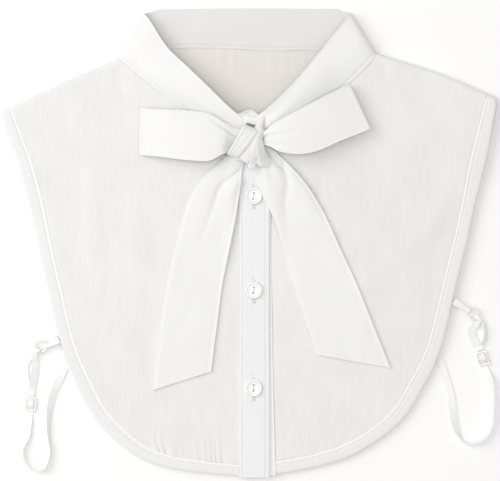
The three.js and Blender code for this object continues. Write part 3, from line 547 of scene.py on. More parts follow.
# The collar's front stretches from the middle out: x and y of the seam, x and y of the top, its lift
band_fronts = {
    "left": np.array([
        (-2.5, 60.0, -2.3, 85.0, 4.0),
        (-24.5, 74.8, -13.5, 94.0, 6.5),
        (-46.2, 93.1, -31.0, 111.0, 7.5),
        (-60.9, 104.3, -44.0, 123.5, 6.0),
        (-75.6, 116.0, -58.1, 137.2, 4.0),
    ]),
    "right": np.array([
        (3.0, 60.0, 3.3, 87.2, 4.0),
        (25.0, 74.5, 16.0, 97.5, 6.5),
        (46.0, 92.5, 30.0, 111.5, 7.5),
        (60.0, 103.8, 42.0, 125.5, 6.0),
        (73.0, 115.0, 54.0, 140.5, 4.0),
    ]),
}
band_folds = {
    "left": np.array([-92.0, 128.4, -74.4, 160.8, 2.5]),
    "right": np.array([89.8, 131.0, 71.0, 161.2, 2.5]),
}


def from_curve(x, y, places):
    """How far each point lies from the smooth curve through some places, and its share of the way along."""
    walk = curve_through(places, np.linspace(0, 1, 60))
    apart = np.hypot(x[:, None] - walk[:, 0], y[:, None] - walk[:, 1])
    return apart.min(axis=1), apart.argmin(axis=1) / 59


def folded_along(x, y, folds):
    """The rise at each point of folds along curves: places, rise, spread, strength at the start and end."""
    total = np.zeros_like(x)
    for places, rise, spread, start, stop in folds:
        apart, share = from_curve(x, y, places)
        total += rise * mix(start, stop, share) * hump(apart, spread)
    return total


def fold_centre(side, share):
    """The middle of the collar's side fold, at its sewn edge (0) or its top edge (1)."""
    seam_x, seam_y, top_x, top_y, lift = band_folds[side]
    seam, top = points(seam_x, seam_y), points(top_x, top_y)
    axis = (top - seam) / np.linalg.norm(top - seam)
    turn = 1 if side == "left" else -1
    out = points(-axis[1], axis[0]) * turn
    place = mix(seam, top, share)
    radius = (front_height(place[0], place[1]) + share * lift - band_cloth / 2) / 2
    place = place - out * (radius + band_cloth / 2)
    place[2] = band_cloth / 2 + radius
    return place, radius, out, axis


def neckline(side, share):
    """The collar's sewn edge on the front, from the side fold to the middle."""
    start = fold_centre(side, 0)[0][:2]
    return on_table(curve_through(np.vstack([start, band_fronts[side][::-1, :2]]), share))


def front_surface(side):
    """One front half, from its armhole edge across to the middle and from its hem up over the shoulder."""
    turn = 1 if side == "left" else -1
    inner = edges[side][:, 2:]
    top_x = placket_left + tuck if side == "left" else stand_top_right - tuck
    bottom_x = placket_left + tuck if side == "left" else stand_right - tuck
    walk = np.linspace(0, 1, 2000)
    neck_share = walk[np.argmin(abs(neckline(side, walk)[:, 0] - top_x))]
    under_seam = points(0, tuck)

    def hem(share):
        inward = leftwards(heading_along(inner, share)) * turn
        return on_table(curve_through(inner, share) - inward * tuck)

    hem_end = hem(1.0) * (0, 1, 1) + points(bottom_x, 0)

    def middle_edge(v):
        at_neck = neckline(side, neck_share * np.clip(v / neck_part, 0, 1)) + under_seam
        past_neck = np.clip((v - neck_part) / (1 - neck_part), 0, 1)
        down = mix(neckline(side, neck_share) + under_seam, hem_end, past_neck[:, None])
        return np.where((v < neck_part)[:, None], at_neck, down)

    def on_shoulder(t):
        return shoulder_point(side, mix(tip_share, 1.0, t), 90) * (1, 1, 0)

    first, last = np.zeros(1), np.ones(1)
    start_shift = hem(0.0) - on_shoulder(first)[0]
    stop_shift = middle_edge(first)[0] - on_shoulder(last)[0]

    def shoulder_edge(t):
        return on_shoulder(t) + start_shift * (1 - t[:, None]) + stop_shift * t[:, None]

    def hem_edge(t):
        return mix(hem(mix(corner_share, 1.0, t)), hem_end, ramp(0.9, 1, t)[:, None])

    def arm_edge(t):
        return hem(corner_share * t)

    def tucked(gap):
        return tuck_depth * (1 - ramp(0.2, 1.5 * tuck, gap))

    def surface(u, v):
        across = 1 - u if side == "right" else u
        flat = np.minimum(v / (1 - front_roll), 1)
        turned = np.clip((v - 1) / front_roll + 1, 0, 1)
        down = 1 - flat
        place = patch(shoulder_edge, hem_edge, arm_edge, middle_edge, across, down)
        x, y = place[:, 0], place[:, 1]
        wide = np.linalg.norm(middle_edge(down) - arm_edge(down), axis=1)
        long = np.linalg.norm(hem_edge(across) - shoulder_edge(across), axis=1)
        sewn_middle = 1.0 if side == "left" else ramp(neck_part + 0.03, neck_part, down)
        sunk = tucked(np.minimum(across * wide, long * flat))
        sunk = np.maximum(sunk, tucked((1 - across) * wide) * sewn_middle)
        edge = np.minimum(across, np.minimum(flat, down))
        gathers = ramp(0.1, 0.01, flat) * np.clip(0.5 + 0.8 * ripple(x, y, 17, 26, 1.0), 0, 1.4)
        gathers = gathers * np.sin(across * 112 + 5 * np.sin(across * 9) + 2 * np.sin(across * 31))
        puckers = (1 - ramp(0, 0.05, across)) * np.sin(flat * 150 + 2 * np.sin(flat * 31))
        puckers = puckers * ramp(0, 0.02, down)
        soft = front_softness * ripple(x, y, front_seeds[side], 34, 2.6) * ramp(0, 0.12, edge)
        creased = folded_along(x, y, shoulder_creases) * ramp(0, 0.03, down)
        relief = hem_fullness[side] * gathers + pucker_rise * puckers + soft + creased
        place[:, 2] = front_height(x, y) + relief - sunk
        shift = mix(start_shift, stop_shift, across[:, None])
        rolled = shoulder_point(side, mix(tip_share, 1.0, across), mix(90.0, shoulder_seam_angle, turned))
        return np.where((turned > 0)[:, None], rolled + shift - points(0, 0, sunk), place)

    return surface


front_light, front_dark = (0.845, 0.845, 0.845), (0.755, 0.753, 0.75)
front_voile = cloth_material("front voile", front_light, front_dark, 1700.0, 0.9, 0.9, "Object", cloud=1.0)
front_flats = {"left": (0.159, 0.285, 0.0315), "right": (0.148, 0.285, 0.0295)}
for side, (width, length, area) in front_flats.items():
    surface = front_surface(side)
    front = lay_cloth("front_cloth_" + side, surface, 100, 180, panel_cloth, width / mm, length / mm)
    dress(front, front_voile, "voile", "front_panel_" + side)


# Bound edges. A cream-white tape of folded cotton sewn round the armholes and the hem with one row of
# stitches near its inner edge. The front's two tapes start over the shoulders' tips and end at the
# placket, and the back's runs all the way round.
binding_cloth = 1.2
binding_width, binding_length = 7.8, 335.0
binding_roll, binding_tip = 0.027, 0.074
back_binding_length, back_binding_tip = 680, 0.025
stitch_inset = 1.6
binding_light, binding_dark, rim_painted_highlight = (0.85, 0.85, 0.842), (0.78, 0.78, 0.77), (0.89, 0.89, 0.885)
binding_cotton = cloth_material(
    "binding cotton", binding_light, binding_dark, 1500.0, 0.6, 0.88, rows=[stitch_inset]
)

# The strip between the stitches and the inner edge is painted lighter: a painted highlight where its raised
# rim catches the light
tree = binding_cotton.node_tree
inwards = axes_of(tree, coordinates(tree, "UV"))[0]
tint_over(binding_cotton, remap(tree, inwards, 0.0011, 0.0015, 1.0, 0.0), rim_painted_highlight)


def tape_relief(inside, along, width):
    """The tape's rise over its flat middle: rounded folds at both edges and a sunk row of stitches."""
    round_edge = 0.35 * (1 - hump(np.minimum(inside, width - inside), 0.8))
    sunk = 0.35 * hump(inside - stitch_inset, 0.6) - 0.35 * hump(inside - 0.5, 0.7)
    puckers = 0.09 * np.sin(along / 1.1 + 1.5 * np.sin(along / 6.1)) * hump(inside - stitch_inset, 3)
    return round_edge - sunk + puckers


def front_binding_surface(side):
    """A front tape, from over the tip of its shoulder down the armhole and along the hem."""
    outer, inner = edges[side][:, :2], edges[side][:, 2:]

    def surface(u, v):
        inward = 1 - u
        along = v if side == "left" else 1 - v
        past = np.clip((along - binding_roll) / (1 - binding_roll), 0, 1)
        line = mix(curve_through(outer, past), curve_through(inner, past), inward[:, None])
        x, y = line[:, 0], line[:, 1]
        relief = tape_relief(u * binding_width, along * binding_length, binding_width) - 0.2
        angle = mix(-60.0, 90.0, np.minimum(along / binding_roll, 1))
        rolled = shoulder_point(side, inward * binding_tip, angle, relief)
        laid = points(x, y, front_height(x, y) + relief)
        return np.where((along < binding_roll)[:, None], rolled, laid)

    return surface


for side in ("left", "right"):
    tape = front_binding_surface(side)
    binding = lay_cloth("front_tape_" + side, tape, 18, 360, binding_cloth, binding_width, binding_length)
    dress(binding, binding_cotton, "binding", "front_binding_" + side)


def back_binding_surface(u, v):
    """The back's tape, from one shoulder's tip round the hem to the other's."""
    share = mix(back_binding_tip, 1 - back_binding_tip, v)
    inner, outer = back_edge(share, back_inset + back_binding_width), back_edge(share, back_inset)
    place = mix(inner, outer, u[:, None])
    relief = tape_relief(u * back_binding_width, v * back_binding_length, back_binding_width)
    place[:, 2] = binding_cloth / 2 + 0.15 + 0.5 * relief
    return place


back_tape = lay_cloth(
    "back_tape", back_binding_surface, 9, 420, binding_cloth, back_binding_width, back_binding_length
)
dress(back_tape, binding_cotton, "binding", "back_binding")


# Button stand and placket. The stand is the folded edge of the right half, seen as a narrow strip
# beside the placket. The placket is three layers of cotton with a row of stitches down each side.
button_x = 2.5
button_ys = [33.0, -33.0, -101.5]
placket_cloth, placket_lift, placket_round, placket_stitch = 1.5, 0.85, 0.25, 2.4
placket_top, placket_bottom = 58.0, -164.5
placket_width, placket_length = placket_right - placket_left, placket_top - placket_bottom
stand_cloth, stand_drop, stand_stitch, stand_bottom = 1.2, 0.45, 2.2, -163.0
stand_width = stand_right - stand_left
placket_rows = [placket_stitch, placket_width - placket_stitch]
placket_light, placket_dark = (0.865, 0.865, 0.88), (0.8, 0.8, 0.815)
placket_cotton = cloth_material(
    "placket cotton", placket_light, placket_dark, 1700.0, 0.5, 0.88, rows=placket_rows
)
stand_rows, stand_light, stand_dark = [stand_width - stand_stitch], (0.86, 0.86, 0.855), (0.8, 0.8, 0.795)
stand_cotton = cloth_material("stand cotton", stand_light, stand_dark, 1700.0, 0.5, 0.9, rows=stand_rows)


def placket_surface(u, v):
    """The placket from the hem up, a little pulled in at each button."""
    x = mix(placket_left, placket_right, u) + 0.25 * np.sin(v * 9) * (u - 0.5)
    y = mix(placket_bottom, placket_top, v)
    inside = np.minimum(u, 1 - u) * placket_width
    sunk = 0.28 * hump(inside - placket_stitch, 0.6)
    soft = 0.15 * ripple(x, y, 12, 22, 1.5) * ramp(1.5, 5, inside)
    puckers = 0.07 * np.sin(y / 0.9 + 2 * np.sin(y / 5)) * hump(inside - placket_stitch, 1.6)
    rounded = placket_round * (1 - hump(inside, 0.7))
    pulled = sum(
        np.exp(-(((x - button_x) / 1.1) ** 2) - ((y - button_y) / 13) ** 4) for button_y in button_ys
    )
    relief = soft + puckers + rounded - sunk - 0.3 * pulled
    return points(x, y, front_height(x, y) + placket_lift + relief)


def stand_surface(u, v):
    """The button stand, whose free right edge curves out towards the hem."""
    x = mix(stand_left, mix(stand_top_right, stand_right, (1 - v) ** 2), u)
    y = mix(stand_bottom, placket_top, v)
    edge = (1 - u) * stand_width
    rim = 1.2 * hump(edge, 1.0) - 0.2 * hump(edge - stand_stitch, 0.6)
    return points(x, y, front_height(x, y) - stand_drop + rim)


stand = lay_cloth("stand_cloth", stand_surface, 14, 200, stand_cloth, stand_width, placket_length)
dress(stand, stand_cotton, "voile", "button_stand")
placket = lay_cloth("placket_cloth", placket_surface, 34, 300, placket_cloth, placket_width, placket_length)
dress(placket, placket_cotton, "cotton", "placket")


# Buttons and buttonholes. Three two-hole shirt buttons of pale moulded resin with a raised rim and a
# sunken face, each sewn on with white thread. Each disc is drawn up from its profile, and its holes
# are cut out. A vertical buttonhole edged with a cord of thread shows above and below each one.
start_radius = 0.1
button_profile = [
    (start_radius, 0.2), (5.2, 0), (5.9, 0.4), (6.2, 1.0), (6.05, 1.6), (5.6, 1.95),
    (5.0, 1.95), (4.5, 1.7), (4.0, 1.55), (start_radius, 1.45),
]
hole_radius, hole_spacing = 0.8, 4.0
button_turns = [7.0, 12.0, 3.0]
thread_length, thread_radius, thread_level, thread_dip = 2.8, 0.36, 1.65, 0.9
thread_places = (-0.2, 0.2)
buttonhole_length, buttonhole_width, buttonhole_thread, buttonhole_sink = 18.5, 1.5, 0.6, 0.2

resin, tree, shader = new_material("button resin")
set_inputs(shader, {"Coat Weight": 0.4, "Coat Roughness": 0.12})
swirl = noise(tree, coordinates(tree, "Object"), 260.0, 3.0)
tint = wire(tree, "ShaderNodeValToRGB", swirl)
for stop, position, colour in zip(
    tint.color_ramp.elements, (0.3, 0.7), ((0.81, 0.805, 0.795, 1), (0.87, 0.868, 0.86, 1))
):
    stop.position, stop.color = position, colour
tree.links.new(tint.outputs[0], shader.inputs["Base Color"])
tree.links.new(remap(tree, swirl, 0.2, 0.8, 0.22, 0.34), shader.inputs["Roughness"])

thread, tree, shader = new_material("sewing thread")
place = coordinates(tree, "Object")
twist = wire(tree, "ShaderNodeTexWave", place, 900.0, 2.0, wave_type="BANDS", bands_direction="Y")
strands = twist.outputs[1]
tree.links.new(blend(tree, strands, (0.8, 0.8, 0.79), (0.92, 0.92, 0.91)), shader.inputs["Base Color"])
set_inputs(shader, {"Roughness": 0.75})
emboss(tree, strands)


def join(pieces, name, turn=0.0, centre=(0, 0, 0)):
    """Joins pieces into one object, turned about a centre, with its place and its turn in its mesh."""
    bpy.ops.object.select_all(action="DESELECT")
    for piece in pieces:
        piece.select_set(True)
    bpy.context.view_layer.objects.active = pieces[0]
    bpy.ops.object.join()
    joined = bpy.context.object
    joined.name = name
    bpy.ops.transform.rotate(value=turn, orient_axis="Z", center_override=centre)
    bpy.ops.object.transform_apply(location=True, rotation=True, scale=True)
    return joined


def spun_button(x, y, z):
    """A button's disc, drawn up ring by ring from the middle of its back to the middle of its face."""
    bpy.ops.object.select_all(action="DESELECT")
    bpy.ops.mesh.primitive_circle_add(vertices=72, radius=start_radius * mm, location=(x, y, z))
    disc = bpy.context.object
    bpy.ops.object.mode_set(mode="EDIT")
    bpy.ops.mesh.select_all(action="SELECT")
    bpy.ops.mesh.edge_face_add()
    bpy.ops.mesh.select_mode(type="FACE")
    radius, level = button_profile[0]
    bpy.ops.transform.translate(value=(0, 0, level * mm))
    for next_radius, next_level in button_profile[1:]:
        bpy.ops.mesh.extrude_region_move()
        wider = next_radius / radius
        bpy.ops.transform.resize(value=(wider, wider, 1), center_override=(x, y, z))
        bpy.ops.transform.translate(value=(0, 0, (next_level - level) * mm))
        radius, level = next_radius, next_level
    bpy.ops.mesh.select_all(action="SELECT")
    bpy.ops.mesh.normals_make_consistent(inside=False)
    bpy.ops.object.mode_set(mode="OBJECT")
    for end in (-1, 1):
        hole_y = y + end * hole_spacing / 2 * mm
        bpy.ops.mesh.primitive_cylinder_add(
            vertices=32, radius=hole_radius * mm, depth=0.02, location=(x, hole_y, z)
        )
        drill = bpy.context.object
        bpy.ops.object.select_all(action="DESELECT")
        bpy.context.view_layer.objects.active = disc
        disc.select_set(True)
        bpy.ops.object.modifier_add(type="BOOLEAN")
        hole = disc.modifiers[-1]
        hole.operation, hole.object, hole.solver = "DIFFERENCE", drill, "EXACT"
        bpy.ops.object.modifier_apply(modifier=hole.name)
        bpy.data.objects.remove(drill)
    bpy.ops.object.shade_smooth_by_angle(angle=math.radians(40))
    return disc


def edging(x, y, z):
    """The cord of thread round a buttonhole: a torus pulled apart along y and pressed flat."""
    bpy.ops.object.select_all(action="DESELECT")
    bpy.ops.mesh.primitive_torus_add(
        location=(x, y, z),
        major_radius=buttonhole_width / 2 * mm,
        minor_radius=buttonhole_thread * mm,
        major_segments=32,
        minor_segments=10,
    )
    ring = bpy.context.object
    straight = (buttonhole_length - buttonhole_width) / 2 * mm
    for vertex in ring.data.vertices:
        vertex.co.y += math.copysign(straight, vertex.co.y)
        vertex.co.z *= 0.5
    bpy.ops.object.shade_smooth()
    return ring


def stitch(x, y, z):
    """A short thread that arches over the button from one hole into the other."""
    bpy.ops.object.select_all(action="DESELECT")
    bpy.ops.mesh.primitive_cylinder_add(
        vertices=10, radius=thread_radius * mm, depth=thread_length * mm, location=(x, y, z)
    )
    strand = bpy.context.object
    bpy.ops.object.mode_set(mode="EDIT")
    bpy.ops.mesh.select_all(action="SELECT")
    bpy.ops.mesh.subdivide(number_cuts=6)
    bpy.ops.object.mode_set(mode="OBJECT")
    for vertex in strand.data.vertices:
        along = vertex.co.z / (thread_length / 2 * mm)
        vertex.co = (vertex.co.x, vertex.co.z, vertex.co.y - thread_dip * mm * along**4)
    bpy.ops.object.shade_smooth()
    return strand


for index, y in enumerate(button_ys):
    seat = front_height(np.array(button_x), np.array(y)) + placket_lift + placket_cloth / 2 + placket_round
    centre = (button_x * mm, y * mm, seat * mm)
    turn = math.radians(button_turns[index])
    button = join([spun_button(*centre)], f"resin_button_{index + 1}", turn, centre)
    dress(button, resin, "button", f"button_{index + 1}")
    level = (seat + thread_level) * mm
    strands = [stitch((button_x + shift) * mm, y * mm, level) for shift in thread_places]
    dress(join(strands, f"button_thread_{index + 1}", turn, centre), thread, "button")
    worked = edging(button_x * mm, y * mm, (seat - buttonhole_sink) * mm)
    dress(join([worked], f"buttonhole_{index + 1}"), thread, "cotton")


# Stand collar. One long band of folded, finely woven cotton, brighter and denser than the panels. Its
# back lies flat with the inner face up, it turns over in a soft fold at each side, and its fronts rise
# a little towards the bow. A row of stitches runs just inside its sewn edge.
fold_angles = [90, 45, 0, -45, -90]
fold_mitre_front, fold_mitre_back = 0.4, 1.1
band_width, band_length, band_wall = 29.0, 410.0, 1.0
band_stitch = 2.2

# The back stretch: x of the seam, x and y of the top
band_back = np.array([
    (-68, -66.5, 163.4),
    (-46, -46, 164.2),
    (-15, -15, 164.5),
    (15, 15, 164.5),
    (46, 44, 164.3),
    (68, 62.5, 163.8),
])

# Along the back stretch, where its inner face shows, the band is painted a little darker, as painted shade
band_light, band_dark, back_stretch_painted_shade = (0.88, 0.88, 0.88), (0.82, 0.82, 0.82), (0.89, 0.885, 0.87)
band_cotton = cloth_material(
    "collar cotton", band_light, band_dark, 2100.0, 0.35, 0.85, rows=[band_width - band_stitch]
)
tree = band_cotton.node_tree
along = axes_of(tree, coordinates(tree, "UV"))[1]
from_back = calculate(tree, "ABSOLUTE", calculate(tree, "SUBTRACT", along, band_length * mm / 2))
inner_face = remap(tree, from_back, 0.08, 0.09, 1.0, 0.0, "SMOOTHSTEP")
tint_over(band_cotton, inner_face, back_stretch_painted_shade, "MULTIPLY")


def band_rows():
    """The band's sewn and free edges, as rows from the left front round the neck to the right front."""
    for side in ("left", "right"):
        front = [
            (points(x, y, front_height(x, y)), points(top_x, top_y, front_height(top_x, top_y) + lift))
            for x, y, top_x, top_y, lift in band_fronts[side]
        ]
        folded = []
        for degrees in fold_angles:
            angle = math.radians(degrees)
            mitre = fold_mitre_back if degrees < 0 else -fold_mitre_front
            pair = []
            for share in (0, 1):
                centre, radius, out, axis = fold_centre(side, share)
                sewn = (1 - share) * math.cos(angle) * shoulder_mitre
                free = share * (1 - math.cos(angle)) * mitre
                place = centre + out * radius * math.cos(angle) + axis * radius * (sewn + free)
                pair.append(place + points(0, 0, radius * math.sin(angle)))
            folded.append(pair)
        part = front + folded
        if side == "left":
            rows = part + [
                (points(x, back_seam(x), 1.4), points(top_x, top_y, 0.6)) for x, top_x, top_y in band_back
            ]
        else:
            rows = rows + part[::-1]
    return np.array([row[0] for row in rows]), np.array([row[1] for row in rows])


band_seams, band_tops = band_rows()


def band_surface(u, v):
    """The band from its top edge to its sewn edge, and from the left front round to the right."""
    place = mix(curve_through(band_seams, v), curve_through(band_tops, v), (1 - u)[:, None])
    fronts = ramp(0.36, 0.2, v) + ramp(0.64, 0.8, v)
    near_knot = ramp(0.24, 0.1, v) + ramp(0.76, 0.9, v)
    belly = np.sin(math.pi * u) * (0.9 * fronts + 0.25 + 1.4 * near_knot)
    rim = 0.4 * fronts * hump(u * band_width, 0.9)
    soft = 0.25 * ripple(place[:, 0], place[:, 1], 21, 26, 1.0)
    sunk = 0.25 * hump((1 - u) * band_width - band_stitch, 0.7)
    at_knot = ramp(0.09, 0.0, v) + ramp(0.91, 1.0, v)
    pleats = 0.7 * at_knot * np.cos(u * 15)
    place[:, 2] = np.maximum(place[:, 2] + belly + rim + soft - sunk + pleats, band_cloth / 2)
    return place


band = lay_cloth("collar_cloth", band_surface, 40, 340, band_wall, band_width, band_length)
dress(band, band_cotton, "cotton", "collar_band")


# Bow. The band's two long ends are tied in a bow. Each loop is the flattened ribbon, pressed to a crisp
# fold at its end and pinched into creases at the knot, and each tail hangs down the front with one
# deep fold below the knot and a slanted, hemmed end.
loop_cloth, loop_width, loop_length = 0.9, 33, 150
loop_layer_share = 0.45
loop_lean = {"left": 3.4, "right": 1.4}
bow_cotton = cloth_material("bow cotton", (0.865, 0.865, 0.865), (0.81, 0.81, 0.81), 2100.0, 0.35, 0.84)

# From the knot to the folded end: x and y of the top edge, x and y of the bottom edge, heights of the
# lower and the upper layer
loops = {
    "left": np.array([
        (-5.6, 78.6, -12.4, 63.6, 16.2, 18.8),
        (-10.6, 79.8, -16.4, 63.2, 14.8, 20.4),
        (-17.0, 83.2, -20.0, 62.0, 14.4, 22.4),
        (-29.4, 90.0, -29.0, 57.6, 14.6, 22.6),
        (-45.0, 92.4, -44.0, 57.8, 14.0, 21.2),
        (-61.0, 93.3, -61.0, 59.8, 12.6, 18.0),
        (-77.2, 94.5, -77.7, 61.6, 11.4, 14.2),
    ]),
    "right": np.array([
        (6.6, 76.4, 8.6, 68.6, 17.0, 19.6),
        (11.4, 78.6, 13.6, 67.6, 15.6, 21.4),
        (16.5, 83.0, 20.5, 64.4, 15.2, 22.6),
        (26.0, 88.4, 32.0, 62.4, 15.4, 23.0),
        (40.0, 96.0, 46.0, 64.0, 15.4, 22.0),
        (55.0, 104.0, 65.0, 72.0, 14.6, 19.8),
        (70.0, 111.3, 84.7, 79.8, 13.2, 16.2),
    ]),
}

# The creases of each loop's upper layer: places along each, rise, spread, strength at its start and end
loop_creases = {
    "left": [
        ([(-7.5, 72.4), (-13, 76.4), (-20, 81.4), (-28, 86.6)], -2.0, 0.9, 1.0, 0.1),
        ([(-10, 70.5), (-19, 73), (-31, 76)], -1.1, 3.4, 1.0, 0.0),
        ([(-11, 67.5), (-18, 65.8), (-28, 64.5)], -0.8, 2.2, 1.0, 0.0),
    ],
    "right": [
        ([(7.5, 71.8), (10.5, 74.2), (15, 75.3), (23, 76.0), (32, 78.4)], -2.8, 1.0, 1.0, 0.1),
        ([(8, 71), (13, 68.8), (21, 67.4), (30, 68.5)], -1.5, 1.9, 1.0, 0.0),
        ([(9, 77.5), (15, 80.2), (24, 84)], -0.7, 1.6, 1.0, 0.0),
    ],
}


def loop_surface(side):
    """A loop's ribbon: out along the lower layer, round the fold, and back along the upper layer."""
    rows = loops[side]
    out = heading_along(rows[:, 0:2], np.ones(1))[0] + heading_along(rows[:, 2:4], np.ones(1))[0]
    out = points(*(out / np.linalg.norm(out)))
    low, high = rows[-1, 4:]
    radius = (high - low) / 2

    def surface(u, v):
        across = u if side == "left" else 1 - u
        lower = v < loop_layer_share
        on_fold = ~lower & (v <= 1 - loop_layer_share)
        share = np.where(on_fold, 1.0, np.minimum(v, 1 - v) / loop_layer_share)
        line = mix(curve_through(rows[:, 2:4], share), curve_through(rows[:, 0:2], share), across[:, None])
        angle = np.where(on_fold, math.pi * (v - 0.5) / (1 - 2 * loop_layer_share), 0.0)
        reach = np.where(on_fold, radius * np.cos(angle), 0.0) - (radius + loop_cloth / 2) * share
        x, y = line[:, 0] + out[0] * reach, line[:, 1] + out[1] * reach
        low_line, high_line = curve_through(rows[:, 2:5], share), curve_through(rows[:, [2, 3, 5]], share)
        layer = np.where(lower, low_line[:, 2], high_line[:, 2])
        bulge = 1.1 * np.sin(math.pi * across) ** 0.7 * np.sin(math.pi * np.clip(share * 1.15, 0, 1))
        rim = 0.3 * hump(np.minimum(across, 1 - across) * loop_width, 1.1)
        creased = folded_along(x, y, loop_creases[side])
        soft = 0.3 * ripple(x, y, 31, 32, 1.0) * ramp(1.0, 0.7, share)
        leaning = loop_lean[side] * across**2 * np.sin(math.pi * np.clip(share * 1.2 + 0.05, 0, 1))
        upper = layer + bulge + rim + creased + soft - leaning
        z = np.where(lower, layer - 0.5 * bulge, upper)
        return points(x, y, np.where(on_fold, (low + high) / 2 + radius * np.sin(angle), z))

    return surface


for side in ("left", "right"):
    loop = lay_cloth("bow_cloth_" + side, loop_surface(side), 60, 220, loop_cloth, loop_width, loop_length)
    dress(loop, bow_cotton, "cotton", "bow_loop_" + side)


# From the knot to the cut end: x and y of the outer edge, x and y of the inner edge
tails = {
    "left": np.array([
        (-11.5, 66.0, -3.6, 64.5),
        (-20.6, 57.5, -5.4, 52.0),
        (-34.8, 43.5, -6.8, 39.0),
        (-44.5, 26.0, -9.4, 21.0),
        (-51.0, 2.0, -13.3, 0.7),
        (-57.0, -20.5, -18.9, -27.0),
        (-62.0, -50.0, -23.4, -60.0),
        (-68.6, -103.2, -27.3, -90.0),
    ]),
    "right": np.array([
        (9.4, 70.6, 3.0, 65.5),
        (18.0, 63.4, 3.4, 57.5),
        (26.0, 56.0, 4.4, 48.5),
        (39.2, 41.3, 7.6, 35.5),
        (51.8, 21.0, 16.0, 18.5),
        (63.4, -4.2, 22.9, -4.2),
        (73.8, -26.6, 30.6, -28.0),
        (84.6, -53.2, 38.6, -55.3),
        (98.4, -87.5, 46.4, -78.1),
    ]),
}

# The folds of each tail: places along each, rise, spread, strength at its start and end
tail_folds = {
    "left": [
        (
            [(-6.9, 49.1), (-13, 44.7), (-18.6, 40.9), (-22, 36), (-24.5, 29), (-29, 16), (-35, 2)],
            -2.4, 2.3, 1.0, 0.1,
        ),
        ([(-9, 43), (-14, 34), (-18, 20), (-24, 0)], 1.5, 4.6, 1.0, 0.0),
        ([(-12, 60), (-22, 52), (-32, 38), (-40, 18)], 1.1, 5.0, 1.0, 0.0),
    ],
    "right": [
        ([(6.7, 65.3), (10.4, 63.4), (17.1, 59), (23.3, 53.4)], -2.0, 0.9, 1.0, 0.8),
        ([(19, 57.5), (24, 52), (26.4, 45), (26.2, 38), (24.5, 28), (25.5, 16)], -2.2, 2.8, 1.0, 0.1),
        ([(30, 50), (39, 37), (47, 19), (57, -8)], 2.4, 7.5, 1.0, 0.0),
        ([(9.5, 52), (12, 42), (15, 28)], 1.3, 3.0, 1.0, 0.0),
    ],
}
tail_cloth, tail_width, tail_length = 0.9, 38, 170
tail_gap, placket_climb = 0.75, 1.3


def tail_surface(side):
    """A tail from its cut end up to the knot, over the placket and the front panel."""
    rows = tails[side]

    def surface(u, v):
        inward = u if side == "left" else 1 - u
        line = mix(curve_through(rows[:, 0:2], 1 - v), curve_through(rows[:, 2:4], 1 - v), inward[:, None])
        x, y = line[:, 0], line[:, 1]
        over_placket = ramp(placket_left - 14, placket_left - 3, x)
        over_placket = over_placket * ramp(placket_right + 14, placket_right + 3, x)
        lifted = ramp(-10, 50, y)
        folds = folded_along(x, y, tail_folds[side])
        from_left, from_right = u * tail_width, (1 - u) * tail_width
        rim = 0.3 * hump(from_right, 1.0) - 0.2 * hump(from_right - 2.6, 1.0) - 0.6 * hump(from_left, 1.8)
        soft = 0.35 * ripple(x, y, 41, 30, 1.6)
        rest = cad_cloth / 2 + tail_gap + tail_cloth / 2 + placket_climb * over_placket
        full = 1.6 * lifted * np.sin(math.pi * inward) ** 0.8
        above = np.maximum(rest + full + folds * ramp(0, 0.12, v) + soft, rest)
        return points(x, y, front_height(x, y) + above + rim)

    return surface


for side in ("left", "right"):
    tail = lay_cloth("tail_cloth_" + side, tail_surface(side), 60, 220, tail_cloth, tail_width, tail_length)
    dress(tail, bow_cotton, "cotton", "bow_tail_" + side)


# Knot. The ribbon crosses over itself: a wad of cloth inside, a narrow wrap that slants over it from
# the upper right to the lower left, and a pleated fan of cloth that spreads from under the wrap to the
# lower right. Behind it the band's two ends cross, which shows as a small fold in the throat.
knot_x, knot_y, knot_z = -0.6, 67.4, 19.0
wad_size = (9.0, 12.0, 5.2)
knot_cloth, fan_fall = 0.8, 34


def knot_wad():
    """The crumpled cloth inside the knot."""
    bpy.ops.object.select_all(action="DESELECT")
    bpy.ops.mesh.primitive_uv_sphere_add(segments=48, ring_count=24, radius=1, location=(0, 0, 0))
    wad = bpy.context.object
    for vertex in wad.data.vertices:
        x, y, z = vertex.co
        crumple = 1 + 0.06 * math.sin(5 * x + 3 * y) + 0.04 * math.sin(9 * y - 4 * z)
        vertex.co = (
            (knot_x + wad_size[0] * x * crumple) * mm,
            (knot_y + wad_size[1] * y * crumple) * mm,
            (knot_z + wad_size[2] * z) * mm,
        )
    wad.name = "knot_wad"
    bpy.ops.object.shade_smooth()
    return wad


# The wrap's middle line from its tucked lower end to its tucked upper end: x, y, height, half width
wrap_rows = np.array([
    (-10.6, 63.0, 14.6, 3.0),
    (-12.6, 60.8, 18.0, 3.3),
    (-11.9, 61.7, 22.6, 3.4),
    (-8.2, 66.9, 26.0, 3.9),
    (-4.0, 73.2, 26.7, 4.5),
    (-0.4, 78.8, 24.6, 4.9),
    (0.6, 80.6, 21.0, 4.9),
    (-0.4, 79.2, 16.4, 4.4),
])
wrap_side = np.array([0.93, -0.36, 0.0])


def wrap_surface(u, v):
    """The narrow wrap, which dips under the knot at both of its ends."""
    line = curve_through(wrap_rows, v)
    across = 2 * u - 1
    bowed = 1.1 * np.sin(math.pi * v) * ramp(-0.2, 1, across)
    place = line[:, :3] + wrap_side * (across * line[:, 3] + bowed)[:, None]
    top = np.sin(math.pi * np.clip(v, 0, 1))
    lip = 0.9 * hump(across + 0.84, 0.15) + 0.3 * hump(across - 0.86, 0.12)
    pleat = -0.25 * hump(across - 0.1 - 0.5 * v, 0.14)
    place[:, 2] += top * (lip + pleat - 1.3 * across**4 - 0.55 * across)
    return place


